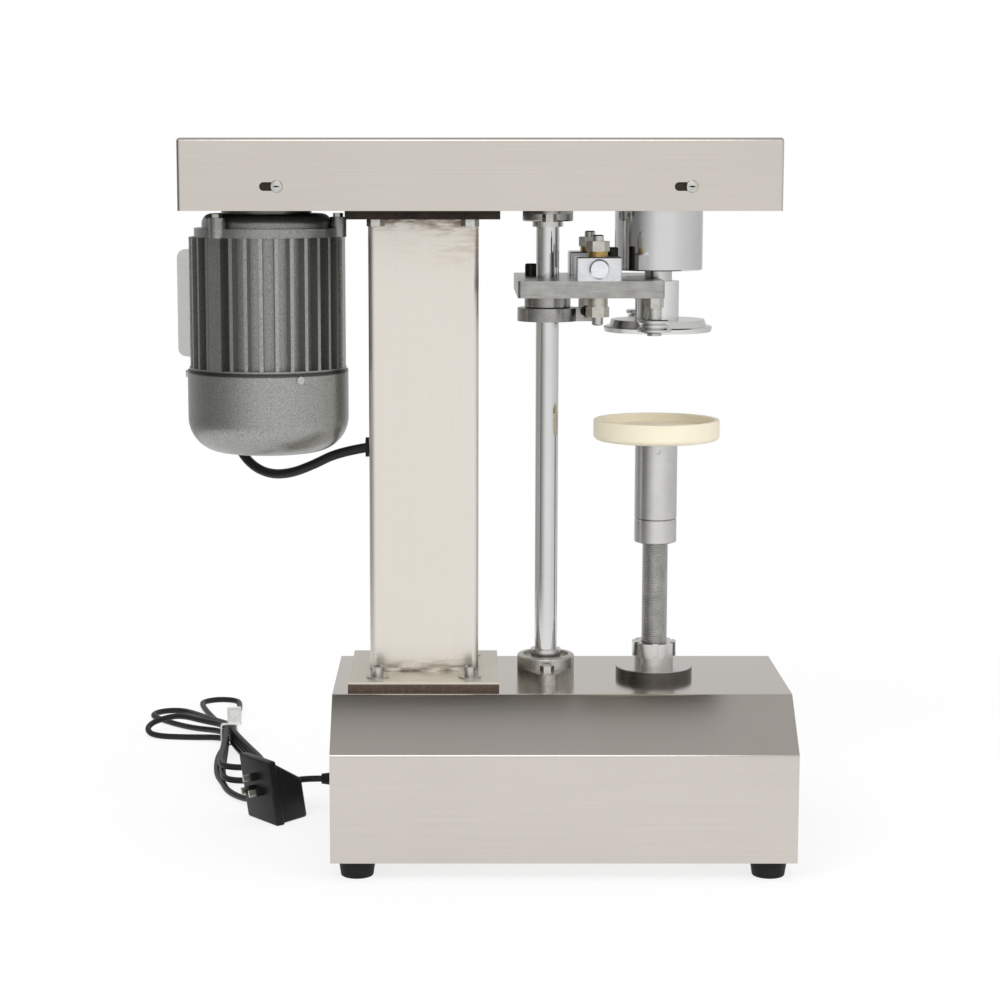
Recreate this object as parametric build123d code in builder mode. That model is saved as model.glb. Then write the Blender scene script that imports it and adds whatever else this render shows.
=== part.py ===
from build123d import *
from math import cos, radians, sin, tan
import os

os.makedirs("parts", exist_ok=True)

# Table-top electric can seamer, in millimetres, +Z up, front towards -Y.
# The origin is on the floor, under the middle of the machine's box.
# Column, motor, swing rod and seaming spindle all stand in the plane Y = 0.

# Clearances
RUN = 0.05
FIT = 0.2
GAP = 0.4

# Base cabinet
BASE_W = 414
BASE_X = 76
BASE_FLAT_D = 168
SLOPE_RUN = 54
SLOPE_DROP = 43
BASE_SIDE_H = 98
BASE_SHEET = 1.5
BASE_BEND_R = 4
FLOOR_T = 2
FOOT_H = 17
FOOT_TOP_R = 17
FOOT_TIP_R = 14.5
FOOT_EDGE_R = 1.5
FOOT_INSET = 23
FOOT_SCREW_R = 3
FOOT_HEAD_R = 6
FOOT_HEAD_H = 4

# Column and its two plates
COLUMN_X = -49
COLUMN_W = 100
COLUMN_D = 50
COLUMN_H = 416
COLUMN_WALL = 3
COLUMN_R = 6
PLATE_W = 137
PLATE_D = 142
PLATE_T = 8
BOLT_PITCH_X = 84
BOLT_PITCH_Y = 98
FOOT_BOLT_R = 4
FOOT_BOLT_HEAD_R = 5
FOOT_BOLT_HEAD_H = 9
FOOT_WASHER_R = 10.5
FOOT_WASHER_T = 1.6
TOP_BOLT_AF = 14
TOP_BOLT_HEAD_H = 6.5
CABLE_WAY_R = 12

# Belt deck and belt cover
COVER_W = 526
COVER_X = 1.5
COVER_D = 200
COVER_H = 63
COVER_SHEET = 1.5
COVER_R = 3
DECK_T = 4
DECK_LIP_H = 36
COVER_SCREW_Z = 21
COVER_SCREW_X = [-175, 185]
COVER_SCREW_R = 3
COVER_HEAD_R = 5.5
COVER_HEAD_H = 3.5
SLOT_L = 20
SLOT_H = 7.5

# Motor
PLATE_ROOM = 1
NECK_R = 41
NECK_H = 4
BELL_R = 59
BELL_H = 13
BELL_SHOULDER_R = 9
RIM_R = 66
RIM_H = 8
MOTOR_BOLT_RING_R = 34
SHIELD_WALL = 7
LUG_ANGLE = 233
LUG_COUNT = 3
LUG_R = 7.5
LUG_CENTRE_R = 66
LUG_H = 18
TIE_HEAD_AF = 8
TIE_HEAD_H = 3.5
TIE_BOLT_R = 2.5
FRAME_H = 130
FRAME_R = 61
FRAME_WALL = 5
FIN_R = 71
FIN_T = 3.2
FIN_COUNT = 32
PAD_W = 15
REAR_WALL = 8
SPIGOT_H = 12
HOOD_LAP = 9
HOOD_R = 73.5
HOOD_H = 75
HOOD_SHEET = 1.5
HOOD_BEND_R = 32
HOOD_SCREW_R = 2.5
HOOD_SCREW_ANGLE = 297
HOOD_SCREW_COUNT = 3
HOOD_HEAD_R = 3.4
HOOD_HEAD_H = 2.5
INLET_R = 3.2
INLET_RINGS = [(11, 6), (20, 12), (29, 18)]
STATOR_H = 70
STATOR_BORE_R = 35
ROTOR_R = 34.5
SHAFT_R = 7.5
SHAFT_STUB = 34
SHAFT_ROOM = 4
FAN_R = 60
FAN_HUB_R = 18
FAN_H = 24
FAN_BLADES = 7
FAN_BLADE_T = 2.5
FAN_BLADE_OUT_R = 57
FAN_DISC_T = 3
MOTOR_BEARING_R = 17.5
MOTOR_BEARING_W = 11
BOX_W = 80
BOX_T = 30
BOX_H = 101
BOX_DROP = 14
BOX_STANDOFF = 1
BOX_WALL = 3
BOX_ANGLE = 122
BOX_R = 8
LID_T = 8

# Belt drive
BELT_Z = 24
BELT_TOP_W = 10
BELT_H = 6
MOTOR_PULLEY_R = 30
SPINDLE_PULLEY_R = 75
PULLEY_W = 18
PULLEY_RIM = 2
PULLEY_WALL = 4
GROOVE_ANGLE = 36
PULLEY_WEB_T = 8
PULLEY_HUB_R = 24
DECK_BOLT_R = 3
BOLT_RING = 4
BOLT_RING_TURN = 45
DECK_BOLT_HEAD_R = 5
DECK_BOLT_HEAD_H = 6

# Seaming spindle and chuck
SPINDLE_X = 165
HOUSING_R = 40
HOUSING_H = 55
HOUSING_BOLT_R = 33
HOUSING_BOLT_GRIP = 12
SPINDLE_R = 12.5
SPINDLE_BEARING_R = 26
SPINDLE_BEARING_W = 15
BEARING_LIP = 4
SPINDLE_ROOM = 3
SPINDLE_TIP = 4
NECK_DROP = 10
CHUCK_SHANK_R = 19
CHUCK_SHANK_H = 35
CHUCK_CROWN_R = 42.5
CHUCK_LIP_R = 49.5
CHUCK_CROWN_H = 6
CHUCK_LIP_H = 5
CHUCK_DISH_R = 40
CHUCK_DISH_H = 3
CHUCK_EDGE = 1

# Swing rod and its flange bearings
ROD_X = 64
ROD_R = 10.5
BOSS_EDGE_R = 1.5
LOWER_BOSS_R = 26.5
LOWER_BOSS_H = 20
UPPER_BOSS_R = 23
UPPER_BOSS_H = 11
FLANGE_T = 9
UPPER_FLANGE_T = 4
FLANGE_BOLT_PITCH = 72
FLANGE_END_R = 10
INSERT_R = 14
INSERT_RISE = 5
SEAL_SINK = 3
SEAL_R = 21
FLANGE_BOLT_R = 4
FLANGE_BOLT_HEAD_R = 6.5
FLANGE_BOLT_HEAD_H = 7

# Yoke arm
ARM_LEFT = 35
ARM_RIGHT = 164
ARM_D = 170
ARM_T = 15
ARM_Z = 513.5
YOKE_SLOT_R = 30
ARM_CORNER_R = 3
HUB_R = 21
HUB_H = 13
CLAMP_R = 27.5
CLAMP_H = 12
CLAMP_EAR_L = 14
CLAMP_EAR_W = 20
CLAMP_SLIT = 2.5
PINCH_R = 3
PINCH_HEAD_R = 5
PINCH_HEAD_H = 6
BLOCK_X = 106
BLOCK_W = 40
BLOCK_L = 40
BLOCK_H = 21
LEVER_BOLT_R = 6
LEVER_HEAD_CHAMFER = 1.5
LEVER_WALL = 3
LEVER_HEAD_R = 9
LEVER_HEAD_H = 7
STUD_R = 5
STUD_UP = 40
STUD_DOWN = 25
STUD_NUT_AF = 18
STUD_NUT_H = 9
STUD_WASHER_R = 9
STUD_WASHER_T = 4.5
SPACER_R = 9
SPACER_H = 8.5
CLAMP_SCREW_X = 50
CLAMP_SCREW_Y = 25
STOP_SCREW_X = 120
STOP_SCREW_Y = -34
CAP_R = 3.5
CAP_HEAD_R = 6
CAP_HEAD_H = 11
STOP_HEAD_H = 28

# Seaming rollers
ROLLER_X = 156
ROLLER_Y = 72
ROLLER_R = 15
ROLLER_H = 12
ROLLER_RISE = 3.5
ROLLER_GROOVE = 2
ROLLER_PIN_R = 5
ROLLER_NUT_AF = 14
ROLLER_NUT_H = 9
ROLLER_NECK_R = 6.5
ROLLER_CAP_H = 2.5

# Can table on its lift screw
TRAY_R = 58
TRAY_H = 19
TRAY_TOP = 398
TRAY_RIM = 5
TRAY_DISH = 8
SLEEVE_R = 19.5
SLEEVE_H = 73
SLEEVE_HOLE_R = 2.6
TURNED_EDGE = 0.8
RING_R = 19.5
RING_H = 22
SCREW_R = 12
SCREW_TAIL = 56
SCREW_END_GAP = 8
GUIDE_R = 35.5
GUIDE_T = 9
GUIDE_NECK_R = 18
GUIDE_NECK_H = 10
GUIDE_TAIL_R = 20
GUIDE_TAIL_H = 30
COLLAR_R = 20.5
COLLAR_H = 13
COLLAR_SLOT_W = 5
COLLAR_SLOT_D = 4
COLLAR_SLOTS = 6
COLLAR_SLOT_TURN = 30

# Leads, glands and the tied mains cord
LEAD_R = 4.5
GROMMET_R = 9
GROMMET_T = 4
GLAND_R = 8
GLAND_L = 22
GLAND_TIP_R = 5
LEAD_GLAND_H = 12
LEAD_ENTRY_DROP = 218
CORD_R = 3.25
CORD_EXIT_Y = 112
CORD_EXIT_Z = 28
TIE_SPOT = (-269, 360)
WAIST_R = 17
FRONT_FOLD = (-239, 195)
FRONT_FOLD_R = 31
BACK_FOLD_R = 25
BACK_FOLDS = [(95, 178), (121, 150), (147, 112)]
HANK_H = 14
TIE_W = 9
TIE_T = 2
WAIST_ROOM = 80
PLUG_W = 44
PLUG_L = 50
PLUG_H = 50
PLUG_R = 9
PLUG_CORD_Z = 12
PLUG_SINK = 2
PIN_L = 17
PIN_W = 6.4
PIN_T = 1.7
PIN_PITCH = 13

# Levels and spans that follow from the sizes above
BASE_D = BASE_FLAT_D + 2 * SLOPE_RUN
BASE_TOP = FOOT_H + BASE_SIDE_H + SLOPE_DROP
FOOT_PLATE_TOP = BASE_TOP + PLATE_T
COLUMN_TOP = FOOT_PLATE_TOP + COLUMN_H
DECK_Z = COLUMN_TOP + PLATE_T
DECK_TOP = DECK_Z + DECK_T
BASE_LEFT = BASE_X - BASE_W / 2
BELT_LEVEL = DECK_TOP + BELT_Z
MOTOR_X = COLUMN_X - PLATE_W / 2 - LUG_CENTRE_R - LUG_R - PLATE_ROOM
SHIELD_TOP = DECK_Z
FRAME_TOP = SHIELD_TOP - NECK_H - BELL_H - RIM_H
FRAME_BOTTOM = FRAME_TOP - FRAME_H
HOOD_TOP = FRAME_BOTTOM + HOOD_LAP
HOOD_BOTTOM = HOOD_TOP - HOOD_H
HOUSING_BOTTOM = DECK_Z - HOUSING_H
CHUCK_TOP = HOUSING_BOTTOM - NECK_DROP
CROWN_TOP = CHUCK_TOP - CHUCK_SHANK_H
LIP_TOP = CROWN_TOP - CHUCK_CROWN_H
CHUCK_BOTTOM = LIP_TOP - CHUCK_LIP_H
ARM_TOP = ARM_Z + ARM_T
BLOCK_TOP = ARM_TOP + BLOCK_H
BLOCK_Y = (ARM_D - BLOCK_L) / 2
ROLLER_Z = CHUCK_BOTTOM + ROLLER_RISE
TRAY_BOTTOM = TRAY_TOP - TRAY_H
SLEEVE_BOTTOM = TRAY_BOTTOM - SLEEVE_H
RING_TOP = SLEEVE_BOTTOM - FIT
RING_BOTTOM = RING_TOP - RING_H
GUIDE_TOP = BASE_TOP + GUIDE_T
COLLAR_Z = GUIDE_TOP + GUIDE_NECK_H
SCREW_BOTTOM = COLLAR_Z - GUIDE_NECK_H - GUIDE_T - SCREW_TAIL


def place(x, y, z):
    """A level plane with its origin at a point."""
    return Plane((x, y, z))


def upright(x, y=0):
    """A vertical plane facing the front, with its origin on a turning axis."""
    return Plane((x, y, 0), x_dir=(1, 0, 0), z_dir=(0, -1, 0))


def standing(x, y=0):
    """A vertical turning axis."""
    return Axis((x, y, 0), (0, 0, 1))


def corner_radii(points):
    """The largest even arc at each corner of a cord's route."""
    radii = []
    for before, at, after in zip(points, points[1:], points[2:]):
        run_in = Vector(*at) - Vector(*before)
        run_out = Vector(*after) - Vector(*at)
        turn = radians(run_in.get_angle(run_out))
        radii.append(0.45 * min(run_in.length, run_out.length) / tan(turn / 2))
    return radii


def save(builder, name):
    """Labels a finished piece and writes it under its own name."""
    builder.part.label = name
    export_step(builder.part, f"parts/{name}.step")


# Base cabinet: a folded shell, open below, with sloped front and back
base_outline = [
    (-BASE_D / 2, FOOT_H),
    (-BASE_D / 2, FOOT_H + BASE_SIDE_H),
    (-BASE_FLAT_D / 2, BASE_TOP),
    (BASE_FLAT_D / 2, BASE_TOP),
    (BASE_D / 2, FOOT_H + BASE_SIDE_H),
    (BASE_D / 2, FOOT_H),
]
with BuildPart() as base_shell:
    with BuildSketch(Plane.YZ.offset(BASE_X)):
        Polygon(*base_outline, align=None)
    extrude(amount=BASE_W / 2, both=True)
    bends = base_shell.edges().filter_by(Axis.X).group_by(Axis.Z)[1:]
    fillet([edge for level in bends for edge in level], BASE_BEND_R)
    offset(amount=-BASE_SHEET, openings=base_shell.faces().sort_by(Axis.Z)[0])
    with Locations(place(COLUMN_X, 0, BASE_TOP)):
        with GridLocations(BOLT_PITCH_X, BOLT_PITCH_Y, 2, 2):
            Hole(FOOT_BOLT_R, depth=2 * BASE_SHEET)
        Hole(CABLE_WAY_R, depth=2 * BASE_SHEET)
    with Locations(place(ROD_X, 0, BASE_TOP)):
        with GridLocations(1, FLANGE_BOLT_PITCH, 1, 2):
            Hole(FLANGE_BOLT_R, depth=2 * BASE_SHEET)
    with Locations(place(SPINDLE_X, 0, BASE_TOP)):
        Hole(GUIDE_TAIL_R, depth=2 * BASE_SHEET)
    with BuildSketch(Plane.YZ.offset(BASE_LEFT)):
        with Locations((CORD_EXIT_Y, CORD_EXIT_Z)):
            Circle(GLAND_TIP_R + FIT)
    extrude(amount=2 * BASE_SHEET, mode=Mode.SUBTRACT)
save(base_shell, "base_shell")

FOOT_X = BASE_W - 2 * FOOT_INSET
FOOT_Y = BASE_D - 2 * FOOT_INSET
with BuildPart() as base_floor:
    with BuildSketch(place(BASE_X, 0, FOOT_H)):
        Rectangle(BASE_W - 2 * (BASE_SHEET + FIT), BASE_D - 2 * (BASE_SHEET + FIT))
        with GridLocations(FOOT_X, FOOT_Y, 2, 2):
            Circle(FOOT_SCREW_R, mode=Mode.SUBTRACT)
    extrude(amount=FLOOR_T)
save(base_floor, "base_floor")

with BuildPart() as rubber_feet:
    with Locations(place(BASE_X, 0, FOOT_H)):
        with GridLocations(FOOT_X, FOOT_Y, 2, 2):
            Cone(FOOT_TIP_R, FOOT_TOP_R, FOOT_H, align=(Align.CENTER, Align.CENTER, Align.MAX))
    fillet(rubber_feet.edges().group_by(Axis.Z)[0], FOOT_EDGE_R)
    with Locations(Plane((BASE_X, 0, 0), z_dir=(0, 0, -1))):
        with GridLocations(FOOT_X, FOOT_Y, 2, 2):
            CounterBoreHole(FOOT_SCREW_R, FOOT_HEAD_R + FIT, FOOT_HEAD_H + FIT)
save(rubber_feet, "rubber_feet")

FOOT_HEAD_Z = FOOT_HEAD_H + FIT
with BuildPart() as foot_screws:
    with BuildSketch(place(BASE_X, 0, FOOT_HEAD_Z)):
        with GridLocations(FOOT_X, FOOT_Y, 2, 2):
            Circle(FOOT_SCREW_R)
    extrude(amount=FOOT_H + FLOOR_T - FOOT_HEAD_Z)
    with BuildSketch(place(BASE_X, 0, FOOT_HEAD_Z)):
        with GridLocations(FOOT_X, FOOT_Y, 2, 2):
            Circle(FOOT_HEAD_R)
    extrude(amount=-FOOT_HEAD_H)
save(foot_screws, "foot_screws")

# Column: a rectangular tube between two square plates
with BuildPart() as column_foot_plate:
    with BuildSketch(place(COLUMN_X, 0, BASE_TOP)):
        Rectangle(PLATE_W, PLATE_D)
        with GridLocations(BOLT_PITCH_X, BOLT_PITCH_Y, 2, 2):
            Circle(FOOT_BOLT_R, mode=Mode.SUBTRACT)
        Circle(CABLE_WAY_R, mode=Mode.SUBTRACT)
    extrude(amount=PLATE_T)
save(column_foot_plate, "column_foot_plate")

LEAD_ENTRY_Z = DECK_Z - LEAD_ENTRY_DROP
with BuildPart() as column_tube:
    with BuildSketch(place(COLUMN_X, 0, FOOT_PLATE_TOP)):
        RectangleRounded(COLUMN_W, COLUMN_D, COLUMN_R)
        RectangleRounded(
            COLUMN_W - 2 * COLUMN_WALL, COLUMN_D - 2 * COLUMN_WALL,
            COLUMN_R - COLUMN_WALL, mode=Mode.SUBTRACT)
    extrude(amount=COLUMN_H)
    with BuildSketch(Plane.YZ.offset(COLUMN_X - COLUMN_W / 2)):
        with Locations((0, LEAD_ENTRY_Z)):
            Circle(LEAD_R + FIT)
    extrude(amount=COLUMN_WALL, mode=Mode.SUBTRACT)
save(column_tube, "column_tube")

with BuildPart() as column_top_plate:
    with BuildSketch(place(COLUMN_X, 0, COLUMN_TOP)):
        Rectangle(PLATE_W, PLATE_D)
        with GridLocations(BOLT_PITCH_X, BOLT_PITCH_Y, 2, 2):
            Circle(FOOT_BOLT_R, mode=Mode.SUBTRACT)
    extrude(amount=PLATE_T)
save(column_top_plate, "column_top_plate")

with BuildPart() as column_foot_bolts:
    with BuildSketch(place(COLUMN_X, 0, FOOT_PLATE_TOP + FOOT_WASHER_T)):
        with GridLocations(BOLT_PITCH_X, BOLT_PITCH_Y, 2, 2):
            Circle(FOOT_BOLT_R)
    extrude(amount=-(FOOT_WASHER_T + PLATE_T + BASE_SHEET))
    with BuildSketch(place(COLUMN_X, 0, FOOT_PLATE_TOP)):
        with GridLocations(BOLT_PITCH_X, BOLT_PITCH_Y, 2, 2):
            Circle(FOOT_WASHER_R)
    extrude(amount=FOOT_WASHER_T)
    with BuildSketch(place(COLUMN_X, 0, FOOT_PLATE_TOP + FOOT_WASHER_T)):
        with GridLocations(BOLT_PITCH_X, BOLT_PITCH_Y, 2, 2):
            Circle(FOOT_BOLT_HEAD_R)
    extrude(amount=FOOT_BOLT_HEAD_H)
save(column_foot_bolts, "column_foot_bolts")

with BuildPart() as column_top_bolts:
    with BuildSketch(place(COLUMN_X, 0, COLUMN_TOP)):
        with GridLocations(BOLT_PITCH_X, BOLT_PITCH_Y, 2, 2):
            Circle(FOOT_BOLT_R)
    extrude(amount=PLATE_T + DECK_T)
    with BuildSketch(place(COLUMN_X, 0, COLUMN_TOP)):
        with GridLocations(BOLT_PITCH_X, BOLT_PITCH_Y, 2, 2):
            RegularPolygon(TOP_BOLT_AF / 2, 6, major_radius=False)
    extrude(amount=-TOP_BOLT_HEAD_H)
save(column_top_bolts, "column_top_bolts")

# Belt deck: a folded channel that carries motor, spindle, rod bearing and cover
DECK_W = COVER_W - 2 * (COVER_SHEET + GAP)
DECK_D = COVER_D - 2 * (COVER_SHEET + GAP)
SCREW_LEVEL = DECK_Z + COVER_SCREW_Z
with BuildPart() as belt_deck:
    with BuildSketch(Plane.YZ.offset(COVER_X)):
        with Locations((0, DECK_Z)):
            Rectangle(DECK_D, DECK_LIP_H, align=(Align.CENTER, Align.MIN))
        with Locations((0, DECK_TOP)):
            Rectangle(DECK_D - 2 * DECK_T, DECK_LIP_H, align=(Align.CENTER, Align.MIN),
                      mode=Mode.SUBTRACT)
    extrude(amount=DECK_W / 2, both=True)
    fillet(belt_deck.edges().filter_by(Axis.Z).group_by(Axis.Y)[0], COVER_R)
    fillet(belt_deck.edges().filter_by(Axis.Z).group_by(Axis.Y)[-1], COVER_R)
    with Locations(place(COLUMN_X, 0, DECK_TOP)):
        with GridLocations(BOLT_PITCH_X, BOLT_PITCH_Y, 2, 2):
            Hole(FOOT_BOLT_R, depth=DECK_T)
    with Locations(place(MOTOR_X, 0, DECK_TOP)):
        Hole(SHAFT_R + SHAFT_ROOM, depth=DECK_T)
        with PolarLocations(MOTOR_BOLT_RING_R, BOLT_RING, BOLT_RING_TURN):
            Hole(DECK_BOLT_R, depth=DECK_T)
    with Locations(place(SPINDLE_X, 0, DECK_TOP)):
        Hole(SPINDLE_R + SPINDLE_ROOM, depth=DECK_T)
        with PolarLocations(HOUSING_BOLT_R, BOLT_RING, BOLT_RING_TURN):
            Hole(DECK_BOLT_R, depth=DECK_T)
    with Locations(place(ROD_X, 0, DECK_TOP)):
        with GridLocations(1, FLANGE_BOLT_PITCH, 1, 2):
            Hole(FLANGE_BOLT_R, depth=DECK_T)
    with BuildSketch(Plane.XZ):
        with Locations([(x, SCREW_LEVEL) for x in COVER_SCREW_X]):
            Circle(COVER_SCREW_R)
    extrude(amount=COVER_D, both=True, mode=Mode.SUBTRACT)
save(belt_deck, "belt_deck")

with BuildPart() as belt_cover:
    with BuildSketch(place(COVER_X, 0, DECK_Z)):
        Rectangle(COVER_W, COVER_D)
    extrude(amount=COVER_H)
    corners = belt_cover.edges().filter_by(Axis.Z)
    brow = belt_cover.faces().sort_by(Axis.Z)[-1].edges()
    fillet(corners + brow, COVER_R)
    offset(amount=-COVER_SHEET, openings=belt_cover.faces().sort_by(Axis.Z)[0])
    with BuildSketch(Plane.XZ):
        with Locations([(x - SLOT_L / 4, SCREW_LEVEL) for x in COVER_SCREW_X]):
            SlotOverall(SLOT_L, SLOT_H)
    extrude(amount=COVER_D, both=True, mode=Mode.SUBTRACT)
save(belt_cover, "belt_cover")

COVER_FACES = [Plane((0, -COVER_D / 2, 0), x_dir=(1, 0, 0), z_dir=(0, -1, 0)),
               Plane((0, COVER_D / 2, 0), x_dir=(-1, 0, 0), z_dir=(0, 1, 0))]
COVER_SHANK = COVER_SHEET + GAP + DECK_T
with BuildPart() as cover_screws:
    for face, side in zip(COVER_FACES, (1, -1)):
        spots = [(side * x, SCREW_LEVEL) for x in COVER_SCREW_X]
        with BuildSketch(face):
            with Locations(spots):
                Circle(COVER_HEAD_R)
        extrude(amount=COVER_HEAD_H)
        with BuildSketch(face):
            with Locations(spots):
                Circle(COVER_SCREW_R)
        extrude(amount=-COVER_SHANK)
    crowns = cover_screws.edges().filter_by(GeomType.CIRCLE).filter_by(
        lambda e: abs(abs(e.center().Y) - COVER_D / 2 - COVER_HEAD_H) < 0.01)
    fillet(crowns, COVER_HEAD_H / 2)
save(cover_screws, "cover_screws")

# Motor: finned frame, drive-end shield, fan under a hood, terminal box behind
SHIELD_SEAT = SHIELD_TOP - SHIELD_WALL
SHIELD_ROOF = SHIELD_TOP - NECK_H - SHIELD_WALL
FRAME_BORE_R = FRAME_R - FRAME_WALL
with BuildPart() as motor_shield:
    with BuildSketch(upright(MOTOR_X)):
        with BuildLine():
            Polyline(
                (SHAFT_R + GAP, SHIELD_TOP), (NECK_R, SHIELD_TOP),
                (NECK_R, SHIELD_TOP - NECK_H), (BELL_R, SHIELD_TOP - NECK_H),
                (BELL_R, FRAME_TOP + RIM_H), (RIM_R, FRAME_TOP + RIM_H),
                (RIM_R, FRAME_TOP), (FRAME_BORE_R, FRAME_TOP),
                (FRAME_BORE_R, SHIELD_ROOF), (MOTOR_BEARING_R + SHIELD_WALL, SHIELD_ROOF),
                (MOTOR_BEARING_R + SHIELD_WALL, SHIELD_SEAT - MOTOR_BEARING_W),
                (MOTOR_BEARING_R, SHIELD_SEAT - MOTOR_BEARING_W),
                (MOTOR_BEARING_R, SHIELD_SEAT), (SHAFT_R + GAP, SHIELD_SEAT), close=True)
        make_face()
    revolve(axis=standing(MOTOR_X))
    shoulder = motor_shield.edges().filter_by(GeomType.CIRCLE).filter_by(
        lambda e: abs(e.radius - BELL_R) < 0.01).sort_by(Axis.Z)[-1]
    fillet(shoulder, BELL_SHOULDER_R)
    with BuildSketch(place(MOTOR_X, 0, FRAME_TOP)):
        with PolarLocations(LUG_CENTRE_R, LUG_COUNT, LUG_ANGLE):
            Circle(LUG_R)
        Circle(FRAME_BORE_R, mode=Mode.SUBTRACT)
    extrude(amount=LUG_H)
    with BuildSketch(place(MOTOR_X, 0, FRAME_TOP)):
        with PolarLocations(LUG_CENTRE_R, LUG_COUNT, LUG_ANGLE):
            Circle(TIE_BOLT_R)
    extrude(amount=LUG_H, mode=Mode.SUBTRACT)
    with Locations(place(MOTOR_X, 0, SHIELD_TOP)):
        with PolarLocations(MOTOR_BOLT_RING_R, BOLT_RING, BOLT_RING_TURN):
            Hole(DECK_BOLT_R, depth=SHIELD_WALL)
save(motor_shield, "motor_shield")

REAR_SEAT = FRAME_BOTTOM + REAR_WALL
BOX_MID = FRAME_TOP - BOX_DROP - BOX_H / 2
BOX_IN_R = FIN_R + BOX_STANDOFF
BOX_OUT = Vector(cos(radians(BOX_ANGLE)), sin(radians(BOX_ANGLE)), 0)


def box_face(reach):
    """The upright plane square to the terminal box, at a distance from the motor's axis."""
    centre = Vector(MOTOR_X, 0, BOX_MID) + BOX_OUT * reach
    return Plane(centre, x_dir=(-BOX_OUT.Y, BOX_OUT.X, 0), z_dir=BOX_OUT)


with BuildPart() as motor_frame:
    with BuildSketch(place(MOTOR_X, 0, FRAME_BOTTOM + SPIGOT_H)):
        Circle(FRAME_R)
        with PolarLocations((FRAME_R + FIN_R) / 2 - 1, FIN_COUNT):
            Rectangle(FIN_R - FRAME_R + 2, FIN_T)
        with PolarLocations((FRAME_R + FIN_R) / 2 - 1, LUG_COUNT, LUG_ANGLE):
            Rectangle(FIN_R - FRAME_R + 2, PAD_W)
    extrude(amount=FRAME_H - SPIGOT_H)
    with BuildSketch(place(MOTOR_X, 0, FRAME_BOTTOM)):
        Circle(HOOD_R - HOOD_SHEET - FIT)
    extrude(amount=SPIGOT_H)
    with Locations(place(MOTOR_X, 0, FRAME_TOP)):
        Hole(FRAME_BORE_R, depth=FRAME_H - REAR_WALL)
        Hole(SHAFT_R + GAP, depth=FRAME_H)
        with PolarLocations(LUG_CENTRE_R, LUG_COUNT, LUG_ANGLE):
            Hole(TIE_BOLT_R, depth=LUG_H)
    with Locations(place(MOTOR_X, 0, REAR_SEAT)):
        Cylinder(MOTOR_BEARING_R + SHIELD_WALL, MOTOR_BEARING_W,
                 align=(Align.CENTER, Align.CENTER, Align.MIN))
        Cylinder(MOTOR_BEARING_R, MOTOR_BEARING_W,
                 align=(Align.CENTER, Align.CENTER, Align.MIN), mode=Mode.SUBTRACT)
    with BuildSketch(box_face(BOX_IN_R)):
        Rectangle(BOX_W / 2, BOX_H / 2)
    extrude(amount=-(BOX_IN_R - FRAME_BORE_R - FRAME_WALL / 2))
save(motor_frame, "motor_frame")

with BuildPart() as motor_stator:
    with BuildSketch(place(MOTOR_X, 0, FRAME_TOP - (FRAME_H - REAR_WALL - STATOR_H) / 2)):
        Circle(FRAME_BORE_R)
        Circle(STATOR_BORE_R, mode=Mode.SUBTRACT)
    extrude(amount=-STATOR_H)
save(motor_stator, "motor_stator")

with BuildPart() as motor_tie_bolts:
    with BuildSketch(place(MOTOR_X, 0, FRAME_TOP - LUG_H)):
        with PolarLocations(LUG_CENTRE_R, LUG_COUNT, LUG_ANGLE):
            Circle(TIE_BOLT_R)
    extrude(amount=2 * LUG_H)
    with BuildSketch(place(MOTOR_X, 0, FRAME_TOP + LUG_H)):
        with PolarLocations(LUG_CENTRE_R, LUG_COUNT, LUG_ANGLE):
            RegularPolygon(TIE_HEAD_AF / 2, 6, major_radius=False)
    extrude(amount=TIE_HEAD_H)
save(motor_tie_bolts, "motor_tie_bolts")

HOOD_IN_R = HOOD_R - HOOD_SHEET
HOOD_SCREW_Z = FRAME_BOTTOM + HOOD_LAP / 2
HOOD_SCREW_STEP = 360 / HOOD_SCREW_COUNT
HOOD_SCREW_TURNS = [radians(HOOD_SCREW_ANGLE + HOOD_SCREW_STEP * n)
                    for n in range(HOOD_SCREW_COUNT)]
HOOD_SCREW_PLANES = [
    Plane((MOTOR_X + HOOD_R * cos(turn), HOOD_R * sin(turn), HOOD_SCREW_Z),
          x_dir=(0, 0, 1), z_dir=(cos(turn), sin(turn), 0)) for turn in HOOD_SCREW_TURNS]
with BuildPart() as fan_hood:
    with BuildSketch(upright(MOTOR_X)):
        with BuildLine():
            Polyline((0, HOOD_BOTTOM), (HOOD_R - HOOD_BEND_R, HOOD_BOTTOM))
            RadiusArc((HOOD_R - HOOD_BEND_R, HOOD_BOTTOM),
                      (HOOD_R, HOOD_BOTTOM + HOOD_BEND_R), -HOOD_BEND_R)
            Polyline((HOOD_R, HOOD_BOTTOM + HOOD_BEND_R), (HOOD_R, HOOD_TOP),
                     (HOOD_IN_R, HOOD_TOP), (HOOD_IN_R, HOOD_BOTTOM + HOOD_BEND_R))
            RadiusArc((HOOD_IN_R, HOOD_BOTTOM + HOOD_BEND_R),
                      (HOOD_R - HOOD_BEND_R, HOOD_BOTTOM + HOOD_SHEET),
                      HOOD_BEND_R - HOOD_SHEET)
            Polyline((HOOD_R - HOOD_BEND_R, HOOD_BOTTOM + HOOD_SHEET),
                     (0, HOOD_BOTTOM + HOOD_SHEET), (0, HOOD_BOTTOM))
        make_face()
    revolve(axis=standing(MOTOR_X))
    with Locations(place(MOTOR_X, 0, HOOD_BOTTOM + HOOD_SHEET)):
        for ring_r, count in INLET_RINGS:
            with PolarLocations(ring_r, count):
                Hole(INLET_R, depth=HOOD_SHEET)
    for facing in HOOD_SCREW_PLANES:
        with BuildSketch(facing):
            Circle(HOOD_SCREW_R)
        extrude(amount=2 * HOOD_SHEET, both=True, mode=Mode.SUBTRACT)
save(fan_hood, "fan_hood")

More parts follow.
